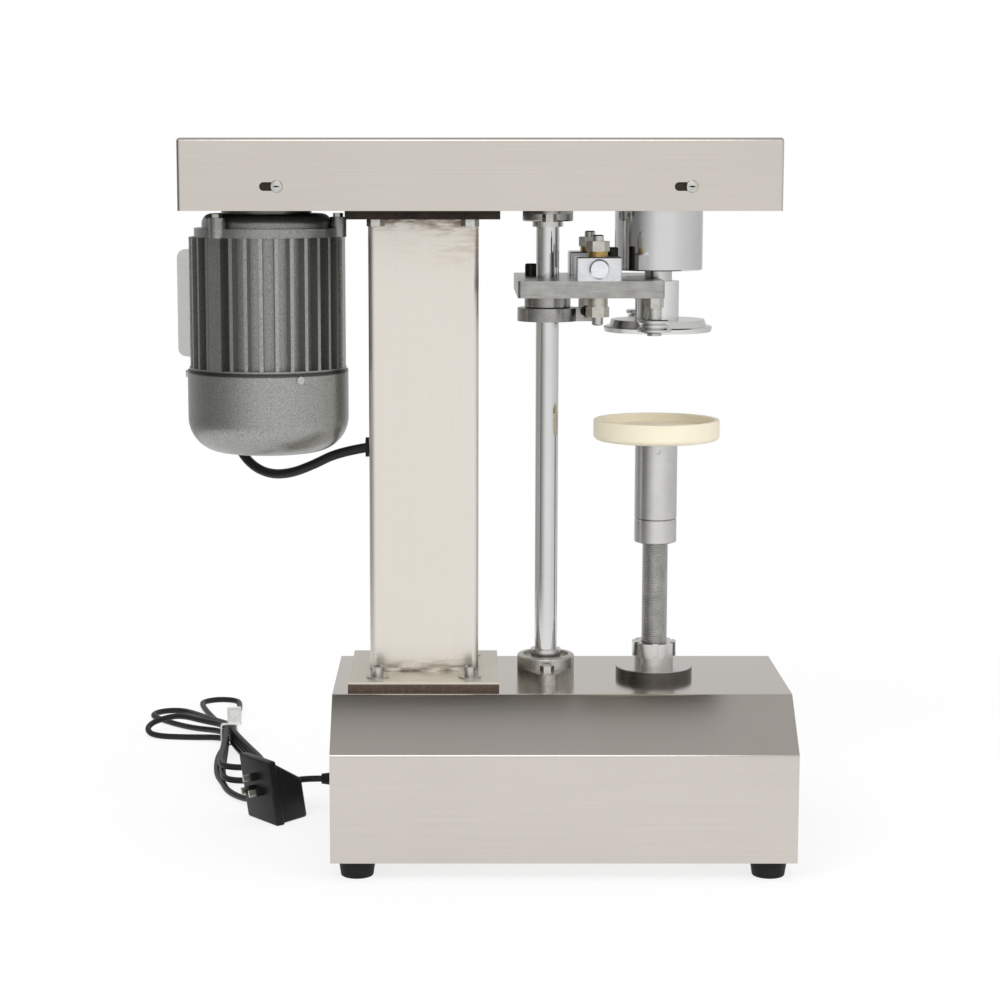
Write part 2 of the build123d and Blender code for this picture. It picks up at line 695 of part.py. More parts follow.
with BuildPart() as fan_hood_screws:
    for facing in HOOD_SCREW_PLANES:
        with BuildSketch(facing):
            Circle(HOOD_HEAD_R)
        extrude(amount=HOOD_HEAD_H)
        with BuildSketch(facing):
            Circle(HOOD_SCREW_R)
        extrude(amount=-(HOOD_SHEET + FIT))
save(fan_hood_screws, "fan_hood_screws")

ROTOR_TOP = FRAME_TOP - (FRAME_H - REAR_WALL - STATOR_H) / 2
FAN_TOP = FRAME_BOTTOM - REAR_WALL
SHAFT_BOTTOM = FAN_TOP - FAN_H
SHAFT_TOP = DECK_TOP + SHAFT_STUB
with BuildPart() as motor_rotor:
    with BuildSketch(place(MOTOR_X, 0, SHAFT_BOTTOM)):
        Circle(SHAFT_R)
    extrude(amount=SHAFT_TOP - SHAFT_BOTTOM)
    with BuildSketch(place(MOTOR_X, 0, ROTOR_TOP)):
        Circle(ROTOR_R)
    extrude(amount=-STATOR_H)
    chamfer(motor_rotor.edges().filter_by(GeomType.CIRCLE).group_by(Axis.Z)[-1], 1)
save(motor_rotor, "motor_rotor")

with BuildPart() as motor_fan:
    with BuildSketch(place(MOTOR_X, 0, FAN_TOP)):
        with PolarLocations(FAN_BLADE_OUT_R / 2, FAN_BLADES):
            Rectangle(FAN_BLADE_OUT_R, FAN_BLADE_T)
        Circle(FAN_HUB_R)
        Circle(SHAFT_R, mode=Mode.SUBTRACT)
    extrude(amount=-FAN_H)
    with BuildSketch(place(MOTOR_X, 0, FAN_TOP)):
        Circle(FAN_R)
        Circle(SHAFT_R, mode=Mode.SUBTRACT)
    extrude(amount=-FAN_DISC_T)
save(motor_fan, "motor_fan")

with BuildPart() as motor_bearings:
    for level in (SHIELD_SEAT - MOTOR_BEARING_W, REAR_SEAT):
        with BuildSketch(place(MOTOR_X, 0, level)):
            Circle(MOTOR_BEARING_R)
            Circle(SHAFT_R + RUN, mode=Mode.SUBTRACT)
        extrude(amount=MOTOR_BEARING_W)
save(motor_bearings, "motor_bearings")

LEAD_R_FROM_AXIS = BOX_IN_R + BOX_T / 2
LEAD_X = MOTOR_X + BOX_OUT.X * LEAD_R_FROM_AXIS
LEAD_Y = BOX_OUT.Y * LEAD_R_FROM_AXIS
BOX_BOTTOM = BOX_MID - BOX_H / 2
with BuildPart() as terminal_box:
    with BuildSketch(box_face(BOX_IN_R)):
        RectangleRounded(BOX_W, BOX_H, BOX_R)
    extrude(amount=BOX_T)
    outside = terminal_box.faces().sort_by(Axis(origin=(0, 0, 0), direction=BOX_OUT))[-1]
    offset(amount=-BOX_WALL, openings=outside)
    with BuildSketch(place(LEAD_X, LEAD_Y, BOX_BOTTOM)):
        Circle(LEAD_R + FIT)
    extrude(amount=2 * BOX_WALL, mode=Mode.SUBTRACT)
save(terminal_box, "terminal_box")

with BuildPart() as terminal_lid:
    with BuildSketch(box_face(BOX_IN_R + BOX_T)):
        RectangleRounded(BOX_W, BOX_H, BOX_R)
    extrude(amount=LID_T)
    rim = terminal_lid.faces().sort_by(Axis(origin=(0, 0, 0), direction=BOX_OUT))[-1].edges()
    fillet(rim, LID_T / 2)
save(terminal_lid, "terminal_lid")

# Belt drive: two grooved pulleys and a V-belt in the cover
GROOVE_IN = BELT_H + PULLEY_RIM
GROOVE_SLOPE = tan(radians(GROOVE_ANGLE / 2))


def pulley_groove(pitch_r):
    """The groove's corners on the right half of an upright pulley profile."""
    outer = pitch_r + PULLEY_RIM
    half_out = BELT_TOP_W / 2 + GAP + PULLEY_RIM / 2 * GROOVE_SLOPE
    half_in = half_out - GROOVE_IN * GROOVE_SLOPE
    return [(outer, BELT_LEVEL + half_out), (outer - GROOVE_IN, BELT_LEVEL + half_in),
            (outer - GROOVE_IN, BELT_LEVEL - half_in), (outer, BELT_LEVEL - half_out)]


PULLEY_TOP = BELT_LEVEL + PULLEY_W / 2
PULLEY_BOTTOM = BELT_LEVEL - PULLEY_W / 2
with BuildPart() as motor_pulley:
    with BuildSketch(upright(MOTOR_X)):
        with BuildLine():
            Polyline((SHAFT_R, PULLEY_TOP), (MOTOR_PULLEY_R + PULLEY_RIM, PULLEY_TOP),
                     *pulley_groove(MOTOR_PULLEY_R),
                     (MOTOR_PULLEY_R + PULLEY_RIM, PULLEY_BOTTOM), (SHAFT_R, PULLEY_BOTTOM),
                     close=True)
        make_face()
    revolve(axis=standing(MOTOR_X))
save(motor_pulley, "motor_pulley")

PULLEY_IN_R = SPINDLE_PULLEY_R + PULLEY_RIM - GROOVE_IN - PULLEY_WALL
with BuildPart() as spindle_pulley:
    with BuildSketch(upright(SPINDLE_X)):
        with BuildLine():
            Polyline((SPINDLE_R, PULLEY_TOP), (PULLEY_HUB_R, PULLEY_TOP),
                     (PULLEY_HUB_R, BELT_LEVEL + PULLEY_WEB_T / 2),
                     (PULLEY_IN_R, BELT_LEVEL + PULLEY_WEB_T / 2), (PULLEY_IN_R, PULLEY_TOP),
                     (SPINDLE_PULLEY_R + PULLEY_RIM, PULLEY_TOP),
                     *pulley_groove(SPINDLE_PULLEY_R),
                     (SPINDLE_PULLEY_R + PULLEY_RIM, PULLEY_BOTTOM), (PULLEY_IN_R, PULLEY_BOTTOM),
                     (PULLEY_IN_R, BELT_LEVEL - PULLEY_WEB_T / 2),
                     (PULLEY_HUB_R, BELT_LEVEL - PULLEY_WEB_T / 2), (PULLEY_HUB_R, PULLEY_BOTTOM),
                     (SPINDLE_R, PULLEY_BOTTOM), close=True)
        make_face()
    revolve(axis=standing(SPINDLE_X))
save(spindle_pulley, "spindle_pulley")

with BuildSketch(place(0, 0, BELT_LEVEL)) as belt_run:
    with Locations((MOTOR_X, 0)):
        Circle(MOTOR_PULLEY_R)
    with Locations((SPINDLE_X, 0)):
        Circle(SPINDLE_PULLEY_R)
    make_hull()
belt_path = belt_run.sketch.faces()[0].outer_wire()
belt_along = belt_path % 0
belt_out = belt_along.cross(Vector(0, 0, 1))
belt_side = 1 if belt_out.dot(belt_path @ 0 - belt_run.sketch.center()) > 0 else -1
with BuildPart() as drive_belt:
    with BuildSketch(Plane(belt_path @ 0, x_dir=belt_out * belt_side, z_dir=belt_along)):
        Polygon((PULLEY_RIM / 2, BELT_TOP_W / 2),
                (PULLEY_RIM / 2 - BELT_H, BELT_TOP_W / 2 - BELT_H * GROOVE_SLOPE),
                (PULLEY_RIM / 2 - BELT_H, -BELT_TOP_W / 2 + BELT_H * GROOVE_SLOPE),
                (PULLEY_RIM / 2, -BELT_TOP_W / 2), align=None)
    sweep(path=belt_path)
save(drive_belt, "drive_belt")

with BuildPart() as deck_bolts:
    for centre_x, circle_r, grip in ((MOTOR_X, MOTOR_BOLT_RING_R, SHIELD_WALL),
                                     (SPINDLE_X, HOUSING_BOLT_R, HOUSING_BOLT_GRIP)):
        with BuildSketch(place(centre_x, 0, DECK_TOP)):
            with PolarLocations(circle_r, BOLT_RING, BOLT_RING_TURN):
                Circle(DECK_BOLT_HEAD_R)
        extrude(amount=DECK_BOLT_HEAD_H)
        with BuildSketch(place(centre_x, 0, DECK_TOP)):
            with PolarLocations(circle_r, BOLT_RING, BOLT_RING_TURN):
                Circle(DECK_BOLT_R)
        extrude(amount=-(DECK_T + grip))
save(deck_bolts, "deck_bolts")

# Seaming spindle: housing under the deck, two bearings, spindle and chuck
UPPER_BEARING_Z = DECK_Z - BEARING_LIP - SPINDLE_BEARING_W
LOWER_BEARING_Z = HOUSING_BOTTOM + BEARING_LIP
with BuildPart() as spindle_housing:
    with BuildSketch(upright(SPINDLE_X)):
        with BuildLine():
            Polyline((SPINDLE_R + SPINDLE_ROOM, HOUSING_BOTTOM), (HOUSING_R, HOUSING_BOTTOM),
                     (HOUSING_R, DECK_Z), (SPINDLE_R + SPINDLE_ROOM, DECK_Z),
                     (SPINDLE_R + SPINDLE_ROOM, DECK_Z - BEARING_LIP),
                     (SPINDLE_BEARING_R, DECK_Z - BEARING_LIP),
                     (SPINDLE_BEARING_R, HOUSING_BOTTOM + BEARING_LIP),
                     (SPINDLE_R + SPINDLE_ROOM, HOUSING_BOTTOM + BEARING_LIP), close=True)
        make_face()
    revolve(axis=standing(SPINDLE_X))
    outer_rims = spindle_housing.edges().filter_by(GeomType.CIRCLE).filter_by(
        lambda e: abs(e.radius - HOUSING_R) < 0.01)
    chamfer(outer_rims, 1)
    with Locations(place(SPINDLE_X, 0, DECK_Z)):
        with PolarLocations(HOUSING_BOLT_R, BOLT_RING, BOLT_RING_TURN):
            Hole(DECK_BOLT_R, depth=HOUSING_BOLT_GRIP)
save(spindle_housing, "spindle_housing")

with BuildPart() as spindle_bearings:
    for level in (UPPER_BEARING_Z, LOWER_BEARING_Z):
        with BuildSketch(place(SPINDLE_X, 0, level)):
            Circle(SPINDLE_BEARING_R)
            Circle(SPINDLE_R + RUN, mode=Mode.SUBTRACT)
        extrude(amount=SPINDLE_BEARING_W)
save(spindle_bearings, "spindle_bearings")

with BuildPart() as spindle:
    with BuildSketch(place(SPINDLE_X, 0, CHUCK_TOP)):
        Circle(SPINDLE_R)
    extrude(amount=PULLEY_TOP + SPINDLE_TIP - CHUCK_TOP)
    chamfer(spindle.edges().filter_by(GeomType.CIRCLE).group_by(Axis.Z)[-1], 1)
save(spindle, "spindle")

with BuildPart() as seaming_chuck:
    with BuildSketch(upright(SPINDLE_X)):
        with BuildLine():
            Polyline((0, CHUCK_BOTTOM + CHUCK_DISH_H),
                     (CHUCK_DISH_R - CHUCK_DISH_H, CHUCK_BOTTOM + CHUCK_DISH_H),
                     (CHUCK_DISH_R, CHUCK_BOTTOM), (CHUCK_LIP_R - CHUCK_EDGE, CHUCK_BOTTOM),
                     (CHUCK_LIP_R, LIP_TOP - CHUCK_EDGE), (CHUCK_LIP_R - CHUCK_EDGE, LIP_TOP),
                     (CHUCK_CROWN_R + 2 * CHUCK_EDGE, LIP_TOP), (CHUCK_CROWN_R, CROWN_TOP),
                     (CHUCK_SHANK_R, CROWN_TOP), (CHUCK_SHANK_R, CHUCK_TOP), (0, CHUCK_TOP), close=True)
        make_face()
    revolve(axis=standing(SPINDLE_X))
save(seaming_chuck, "seaming_chuck")

# Swing rod in two flange bearings, one on the base and one under the deck


def flange_outline(boss_r):
    """A two-bolt flange: the boss circle drawn out to a bolt ear at front and back."""
    Circle(boss_r)
    with GridLocations(1, FLANGE_BOLT_PITCH, 1, 2):
        Circle(FLANGE_END_R)
    make_hull()


with BuildPart() as lower_rod_bearing:
    with BuildSketch(place(ROD_X, 0, BASE_TOP)):
        flange_outline(LOWER_BOSS_R)
    extrude(amount=FLANGE_T)
    with BuildSketch(place(ROD_X, 0, BASE_TOP + FLANGE_T)):
        Circle(LOWER_BOSS_R)
    extrude(amount=LOWER_BOSS_H - FLANGE_T)
    fillet(lower_rod_bearing.faces().sort_by(Axis.Z)[-1].edges(), 2)
    with Locations(place(ROD_X, 0, BASE_TOP + LOWER_BOSS_H)):
        CounterBoreHole(INSERT_R + RUN, SEAL_R, SEAL_SINK, depth=LOWER_BOSS_H)
    with Locations(place(ROD_X, 0, BASE_TOP + FLANGE_T)):
        with GridLocations(1, FLANGE_BOLT_PITCH, 1, 2):
            Hole(FLANGE_BOLT_R, depth=FLANGE_T)
save(lower_rod_bearing, "lower_rod_bearing")

with BuildPart() as upper_rod_bearing:
    with BuildSketch(place(ROD_X, 0, DECK_Z)):
        flange_outline(UPPER_BOSS_R)
    extrude(amount=-UPPER_FLANGE_T)
    with BuildSketch(place(ROD_X, 0, DECK_Z - UPPER_FLANGE_T)):
        Circle(UPPER_BOSS_R)
    extrude(amount=-(UPPER_BOSS_H - UPPER_FLANGE_T))
    fillet(upper_rod_bearing.faces().sort_by(Axis.Z)[0].edges(), BOSS_EDGE_R)
    with Locations(place(ROD_X, 0, DECK_Z)):
        Hole(INSERT_R + RUN, depth=UPPER_BOSS_H)
        with GridLocations(1, FLANGE_BOLT_PITCH, 1, 2):
            Hole(FLANGE_BOLT_R, depth=UPPER_FLANGE_T)
save(upper_rod_bearing, "upper_rod_bearing")

with BuildPart() as rod_bearing_bolts:
    for seat, away, grip in ((BASE_TOP + FLANGE_T, 1, FLANGE_T + BASE_SHEET),
                             (DECK_Z - UPPER_FLANGE_T, -1, UPPER_FLANGE_T + DECK_T)):
        with BuildSketch(place(ROD_X, 0, seat)):
            with GridLocations(1, FLANGE_BOLT_PITCH, 1, 2):
                RegularPolygon(FLANGE_BOLT_HEAD_R, 6)
        extrude(amount=away * FLANGE_BOLT_HEAD_H)
        with BuildSketch(place(ROD_X, 0, seat)):
            with GridLocations(1, FLANGE_BOLT_PITCH, 1, 2):
                Circle(FLANGE_BOLT_R)
        extrude(amount=-away * grip)
save(rod_bearing_bolts, "rod_bearing_bolts")

ROD_BOTTOM = BASE_TOP + GAP
ROD_TOP = DECK_Z - GAP
with BuildPart() as swing_rod:
    with BuildSketch(place(ROD_X, 0, ROD_BOTTOM)):
        Circle(ROD_R)
    extrude(amount=ROD_TOP - ROD_BOTTOM)
    chamfer(swing_rod.edges().filter_by(GeomType.CIRCLE), 1)
save(swing_rod, "swing_rod")

with BuildPart() as rod_bearing_rings:
    for low, high in ((ROD_BOTTOM, BASE_TOP + LOWER_BOSS_H + INSERT_RISE),
                      (DECK_Z - UPPER_BOSS_H - INSERT_RISE, ROD_TOP)):
        with BuildSketch(place(ROD_X, 0, low)):
            Circle(INSERT_R)
            Circle(ROD_R, mode=Mode.SUBTRACT)
        extrude(amount=high - low)
save(rod_bearing_rings, "rod_bearing_rings")

# Yoke arm: a slotted plate clamped on the rod, with an adjuster block on each tine
ARM_W = ARM_RIGHT - ARM_LEFT
ARM_X = (ARM_LEFT + ARM_RIGHT) / 2
TINE_SPOTS = [(BLOCK_X, -BLOCK_Y), (BLOCK_X, BLOCK_Y)]
ROLLER_SPOTS = [(ROLLER_X, -ROLLER_Y), (ROLLER_X, ROLLER_Y)]
with BuildPart() as yoke_arm:
    with BuildSketch(place(0, 0, ARM_Z)):
        with Locations((ARM_X, 0)):
            RectangleRounded(ARM_W, ARM_D, ARM_CORNER_R)
        with Locations((SPINDLE_X, 0)):
            Circle(YOKE_SLOT_R, mode=Mode.SUBTRACT)
        with Locations((ROD_X, 0)):
            Circle(ROD_R, mode=Mode.SUBTRACT)
        with Locations(TINE_SPOTS):
            Circle(STUD_R, mode=Mode.SUBTRACT)
        with Locations(ROLLER_SPOTS):
            Circle(ROLLER_PIN_R, mode=Mode.SUBTRACT)
        with Locations((CLAMP_SCREW_X, CLAMP_SCREW_Y), (STOP_SCREW_X, STOP_SCREW_Y)):
            Circle(CAP_R, mode=Mode.SUBTRACT)
    extrude(amount=ARM_T)
save(yoke_arm, "yoke_arm")

with BuildPart() as arm_hub:
    with BuildSketch(place(ROD_X, 0, ARM_Z)):
        Circle(HUB_R)
        Circle(ROD_R, mode=Mode.SUBTRACT)
    extrude(amount=-HUB_H)
    chamfer(arm_hub.edges().filter_by(GeomType.CIRCLE).filter_by(
        lambda e: abs(e.radius - HUB_R) < 0.01), 1)
save(arm_hub, "arm_hub")

CLAMP_TOP = ARM_Z - HUB_H
CLAMP_REACH = CLAMP_R + CLAMP_EAR_L
PINCH_X = ROD_X + CLAMP_R + CLAMP_EAR_L / 2
PINCH_FACE = Plane((PINCH_X, -CLAMP_EAR_W / 2, CLAMP_TOP - CLAMP_H / 2), x_dir=(1, 0, 0), z_dir=(0, -1, 0))
with BuildPart() as arm_clamp:
    with BuildSketch(place(ROD_X, 0, CLAMP_TOP)):
        Circle(CLAMP_R)
        Rectangle(CLAMP_REACH, CLAMP_EAR_W, align=(Align.MIN, Align.CENTER))
        Circle(ROD_R, mode=Mode.SUBTRACT)
        Rectangle(CLAMP_REACH, CLAMP_SLIT, align=(Align.MIN, Align.CENTER), mode=Mode.SUBTRACT)
    extrude(amount=-CLAMP_H)
    with BuildSketch(PINCH_FACE):
        Circle(PINCH_R)
    extrude(amount=-CLAMP_EAR_W, mode=Mode.SUBTRACT)
save(arm_clamp, "arm_clamp")

LEVER_FACE = Plane((BLOCK_X, -BLOCK_Y - BLOCK_L / 2, ARM_TOP + BLOCK_H / 2),
                   x_dir=(1, 0, 0), z_dir=(0, -1, 0))
LEVER_BOLT_L = BLOCK_L / 2 - STUD_R - LEVER_WALL
with BuildPart() as adjuster_blocks:
    with BuildSketch(place(0, 0, ARM_TOP)):
        with Locations(TINE_SPOTS):
            Rectangle(BLOCK_W, BLOCK_L)
    extrude(amount=BLOCK_H)
    fillet(adjuster_blocks.edges().filter_by(Axis.Z), 2)
    chamfer(adjuster_blocks.edges().group_by(Axis.Z)[-1], 1)
    with Locations([(x, y, BLOCK_TOP) for x, y in TINE_SPOTS]):
        Hole(STUD_R, depth=BLOCK_H)
    with BuildSketch(LEVER_FACE):
        Circle(LEVER_BOLT_R)
    extrude(amount=-LEVER_BOLT_L, mode=Mode.SUBTRACT)
save(adjuster_blocks, "adjuster_blocks")

with BuildPart() as lever_bolt:
    with BuildSketch(LEVER_FACE):
        Circle(LEVER_HEAD_R)
    extrude(amount=LEVER_HEAD_H)
    chamfer(lever_bolt.edges().group_by(Axis.Y)[0], LEVER_HEAD_CHAMFER)
    with BuildSketch(LEVER_FACE):
        Circle(LEVER_BOLT_R)
    extrude(amount=-LEVER_BOLT_L)
save(lever_bolt, "lever_bolt")

NUT_SEAT = BLOCK_TOP + STUD_WASHER_T
with BuildPart() as adjuster_studs:
    with BuildSketch(place(0, 0, ARM_Z - STUD_DOWN)):
        with Locations(TINE_SPOTS):
            Circle(STUD_R)
    extrude(amount=STUD_DOWN + ARM_T + STUD_UP)
    chamfer(adjuster_studs.edges().group_by(Axis.Z)[-1], 1)
    chamfer(adjuster_studs.edges().group_by(Axis.Z)[0], 1)
save(adjuster_studs, "adjuster_studs")

with BuildPart() as adjuster_nuts:
    for seat, away in ((NUT_SEAT, 1), (ARM_Z - SPACER_H, -1)):
        with BuildSketch(place(0, 0, seat)):
            with Locations(TINE_SPOTS):
                RegularPolygon(STUD_NUT_AF / 2, 6, major_radius=False)
                Circle(STUD_R, mode=Mode.SUBTRACT)
        extrude(amount=away * STUD_NUT_H)
    with BuildSketch(place(0, 0, ARM_Z)):
        with Locations(TINE_SPOTS):
            Circle(SPACER_R)
            Circle(STUD_R, mode=Mode.SUBTRACT)
    extrude(amount=-SPACER_H)
save(adjuster_nuts, "adjuster_nuts")

with BuildPart() as adjuster_washers:
    with BuildSketch(place(0, 0, BLOCK_TOP)):
        with Locations(TINE_SPOTS):
            Circle(STUD_WASHER_R)
            Circle(STUD_R, mode=Mode.SUBTRACT)
    extrude(amount=STUD_WASHER_T)
save(adjuster_washers, "adjuster_washers")

with BuildPart() as arm_cap_screws:
    for spot, head_h in (((CLAMP_SCREW_X, CLAMP_SCREW_Y), CAP_HEAD_H),
                         ((STOP_SCREW_X, STOP_SCREW_Y), STOP_HEAD_H)):
        with BuildSketch(place(*spot, ARM_TOP)):
            Circle(CAP_HEAD_R)
        extrude(amount=head_h)
        with BuildSketch(place(*spot, ARM_TOP)):
            Circle(CAP_R)
        extrude(amount=-ARM_T)
    with BuildSketch(PINCH_FACE):
        Circle(PINCH_HEAD_R)
    extrude(amount=PINCH_HEAD_H)
    with BuildSketch(PINCH_FACE):
        Circle(PINCH_R)
    extrude(amount=-CLAMP_EAR_W)
save(arm_cap_screws, "arm_cap_screws")

# Seaming rollers on pins under the tines
ROLLER_TOP = ROLLER_Z + ROLLER_H
ROLLER_MID = ROLLER_Z + ROLLER_H / 2
PIN_BOTTOM = ROLLER_Z - FIT - ROLLER_CAP_H
with BuildPart() as roller_pins:
    for x, y in ROLLER_SPOTS:
        with BuildSketch(upright(x, y)):
            with BuildLine():
                Polyline((0, PIN_BOTTOM), (ROLLER_NECK_R, PIN_BOTTOM),
                         (ROLLER_NECK_R, PIN_BOTTOM + ROLLER_CAP_H),
                         (ROLLER_PIN_R, PIN_BOTTOM + ROLLER_CAP_H),
                         (ROLLER_PIN_R, ROLLER_TOP + FIT), (ROLLER_NECK_R, ROLLER_TOP + FIT),
                         (ROLLER_NECK_R, ARM_Z - ROLLER_NUT_H), (ROLLER_PIN_R, ARM_Z - ROLLER_NUT_H),
                         (ROLLER_PIN_R, ARM_TOP), (0, ARM_TOP), close=True)
            make_face()
        revolve(axis=standing(x, y))
    with BuildSketch(place(0, 0, ARM_Z)):
        with Locations(ROLLER_SPOTS):
            RegularPolygon(ROLLER_NUT_AF / 2, 6, major_radius=False)
    extrude(amount=-ROLLER_NUT_H)
save(roller_pins, "roller_pins")

for name, (x, y) in zip(("front_roller", "rear_roller"), ROLLER_SPOTS):
    with BuildPart() as roller:
        with BuildSketch(upright(x, y)):
            with BuildLine():
                Polyline((ROLLER_PIN_R + RUN, ROLLER_Z), (ROLLER_R - 1, ROLLER_Z),
                         (ROLLER_R, ROLLER_Z + 1), (ROLLER_R, ROLLER_MID - ROLLER_GROOVE - 1),
                         (ROLLER_R - ROLLER_GROOVE, ROLLER_MID - 1),
                         (ROLLER_R - ROLLER_GROOVE, ROLLER_MID + 1),
                         (ROLLER_R, ROLLER_MID + ROLLER_GROOVE + 1), (ROLLER_R, ROLLER_TOP - 1),
                         (ROLLER_R - 1, ROLLER_TOP), (ROLLER_PIN_R + RUN, ROLLER_TOP), close=True)
            make_face()
        revolve(axis=standing(x, y))
    save(roller, name)

# Can table: a dished tray on a sleeve that spins on the lift screw
with BuildPart() as can_tray:
    with BuildSketch(upright(SPINDLE_X)):
        with BuildLine():
            Polyline((0, TRAY_BOTTOM), (TRAY_R, TRAY_BOTTOM), (TRAY_R, TRAY_TOP),
                     (TRAY_R - TRAY_RIM, TRAY_TOP), (TRAY_R - TRAY_RIM, TRAY_TOP - TRAY_DISH),
                     (0, TRAY_TOP - TRAY_DISH), close=True)
        make_face()
    revolve(axis=standing(SPINDLE_X))
    round_edges = can_tray.edges().filter_by(GeomType.CIRCLE).filter_by(
        lambda e: e.radius > TRAY_R - 0.01)
    fillet(round_edges.sort_by(Axis.Z)[0], TRAY_RIM)
    fillet(can_tray.edges().filter_by(GeomType.CIRCLE).group_by(Axis.Z)[-1], TRAY_RIM / 4)
save(can_tray, "can_tray")

BORE_TOP = TRAY_BOTTOM - SCREW_END_GAP
with BuildPart() as tray_sleeve:
    with BuildSketch(place(SPINDLE_X, 0, SLEEVE_BOTTOM)):
        Circle(SLEEVE_R)
    extrude(amount=SLEEVE_H)
    with BuildSketch(place(SPINDLE_X, 0, SLEEVE_BOTTOM)):
        Circle(SCREW_R + RUN)
    extrude(amount=BORE_TOP - SLEEVE_BOTTOM, mode=Mode.SUBTRACT)
    with BuildSketch(upright(SPINDLE_X, -SLEEVE_R)):
        with Locations((0, TRAY_BOTTOM - SCREW_END_GAP / 2 - 2 * SLEEVE_HOLE_R)):
            Circle(SLEEVE_HOLE_R)
    extrude(amount=-(SLEEVE_R - SCREW_R) / 2, mode=Mode.SUBTRACT)
    chamfer(tray_sleeve.edges().filter_by(GeomType.CIRCLE).filter_by(
        lambda e: abs(e.radius - SLEEVE_R) < 0.01), TURNED_EDGE)
save(tray_sleeve, "tray_sleeve")

with BuildPart() as thrust_ring:
    with BuildSketch(place(SPINDLE_X, 0, RING_BOTTOM)):
        Circle(RING_R)
        Circle(SCREW_R, mode=Mode.SUBTRACT)
    extrude(amount=RING_H)
    chamfer(thrust_ring.edges().filter_by(GeomType.CIRCLE).filter_by(
        lambda e: abs(e.radius - RING_R) < 0.01), TURNED_EDGE)
save(thrust_ring, "thrust_ring")

with BuildPart() as lift_screw:
    with BuildSketch(place(SPINDLE_X, 0, SCREW_BOTTOM)):
        Circle(SCREW_R)
    extrude(amount=BORE_TOP - FIT - SCREW_BOTTOM)
    chamfer(lift_screw.edges().filter_by(GeomType.CIRCLE), 1)
save(lift_screw, "lift_screw")

with BuildPart() as stop_collar:
    with BuildSketch(place(SPINDLE_X, 0, COLLAR_Z)):
        Circle(COLLAR_R)
        Circle(SCREW_R, mode=Mode.SUBTRACT)
        with PolarLocations(COLLAR_R - COLLAR_SLOT_D / 2, COLLAR_SLOTS, COLLAR_SLOT_TURN):
            Rectangle(COLLAR_SLOT_D, COLLAR_SLOT_W, mode=Mode.SUBTRACT)
    extrude(amount=COLLAR_H)
save(stop_collar, "stop_collar")

with BuildPart() as lift_guide:
    with BuildSketch(upright(SPINDLE_X)):
        with BuildLine():
            Polyline((SCREW_R + RUN, BASE_TOP - GUIDE_TAIL_H), (GUIDE_TAIL_R, BASE_TOP - GUIDE_TAIL_H),
                     (GUIDE_TAIL_R, BASE_TOP), (GUIDE_R, BASE_TOP), (GUIDE_R, GUIDE_TOP),
                     (GUIDE_NECK_R, GUIDE_TOP), (GUIDE_NECK_R, GUIDE_TOP + GUIDE_NECK_H),
                     (SCREW_R + RUN, GUIDE_TOP + GUIDE_NECK_H), close=True)
        make_face()
    revolve(axis=standing(SPINDLE_X))
    chamfer(lift_guide.edges().filter_by(GeomType.CIRCLE).filter_by(
        lambda e: abs(e.radius - GUIDE_R) < 0.01).sort_by(Axis.Z)[-1], 1)
save(lift_guide, "lift_guide")

# Motor lead: from the terminal box, down behind the hood and into the column
LEAD_TOP = BOX_BOTTOM - LEAD_GLAND_H
LEAD_END_X = COLUMN_X - COLUMN_W / 2
LEAD_ROUTE = [
    (LEAD_X, LEAD_Y, LEAD_TOP),
    (LEAD_X, LEAD_Y, 413),
    (-236, 71, 389),
    (-228, 66, 366),
    (-215, 57, 349),
    (-197, 45, 341),
    (-176, 31, 343),
    (-153, 16, 353),
    (-128, 3, 367),
    (LEAD_END_X, 0, LEAD_ENTRY_Z),
]


def cord_path(route):
    """The cord's centre line: straight runs joined by the largest even arcs."""
    radii = corner_radii(route)
    print("cord radii", [round(r) for r in radii])
    with BuildLine() as path:
        FilletPolyline(*route, radius=radii)
    return path.wire()


with BuildPart() as motor_lead:
    lead_path = cord_path(LEAD_ROUTE)
    with BuildSketch(Plane(lead_path @ 0, z_dir=lead_path % 0)):
        Circle(LEAD_R)
    sweep(path=lead_path)
save(motor_lead, "motor_lead")

with BuildPart() as cable_glands:
    with BuildSketch(place(LEAD_X, LEAD_Y, LEAD_TOP)):
        Circle(GROMMET_R)
    extrude(amount=LEAD_GLAND_H)
    with BuildSketch(Plane((LEAD_END_X, 0, LEAD_ENTRY_Z), x_dir=(0, 1, 0), z_dir=(-1, 0, 0))):
        Circle(GROMMET_R)
        Circle(LEAD_R + 2 * GAP + FIT, mode=Mode.SUBTRACT)
    extrude(amount=GROMMET_T)
    gland_plane = Plane((BASE_LEFT, CORD_EXIT_Y, CORD_EXIT_Z), x_dir=(0, 1, 0), z_dir=(-1, 0, 0))
    with BuildSketch(gland_plane):
        Circle(GLAND_R)
    with BuildSketch(gland_plane.offset(GLAND_L)):
        Circle(GLAND_TIP_R)
    loft()
    with BuildSketch(gland_plane):
        Circle(GLAND_TIP_R)
    extrude(amount=-2 * BASE_SHEET)
save(cable_glands, "cable_glands")

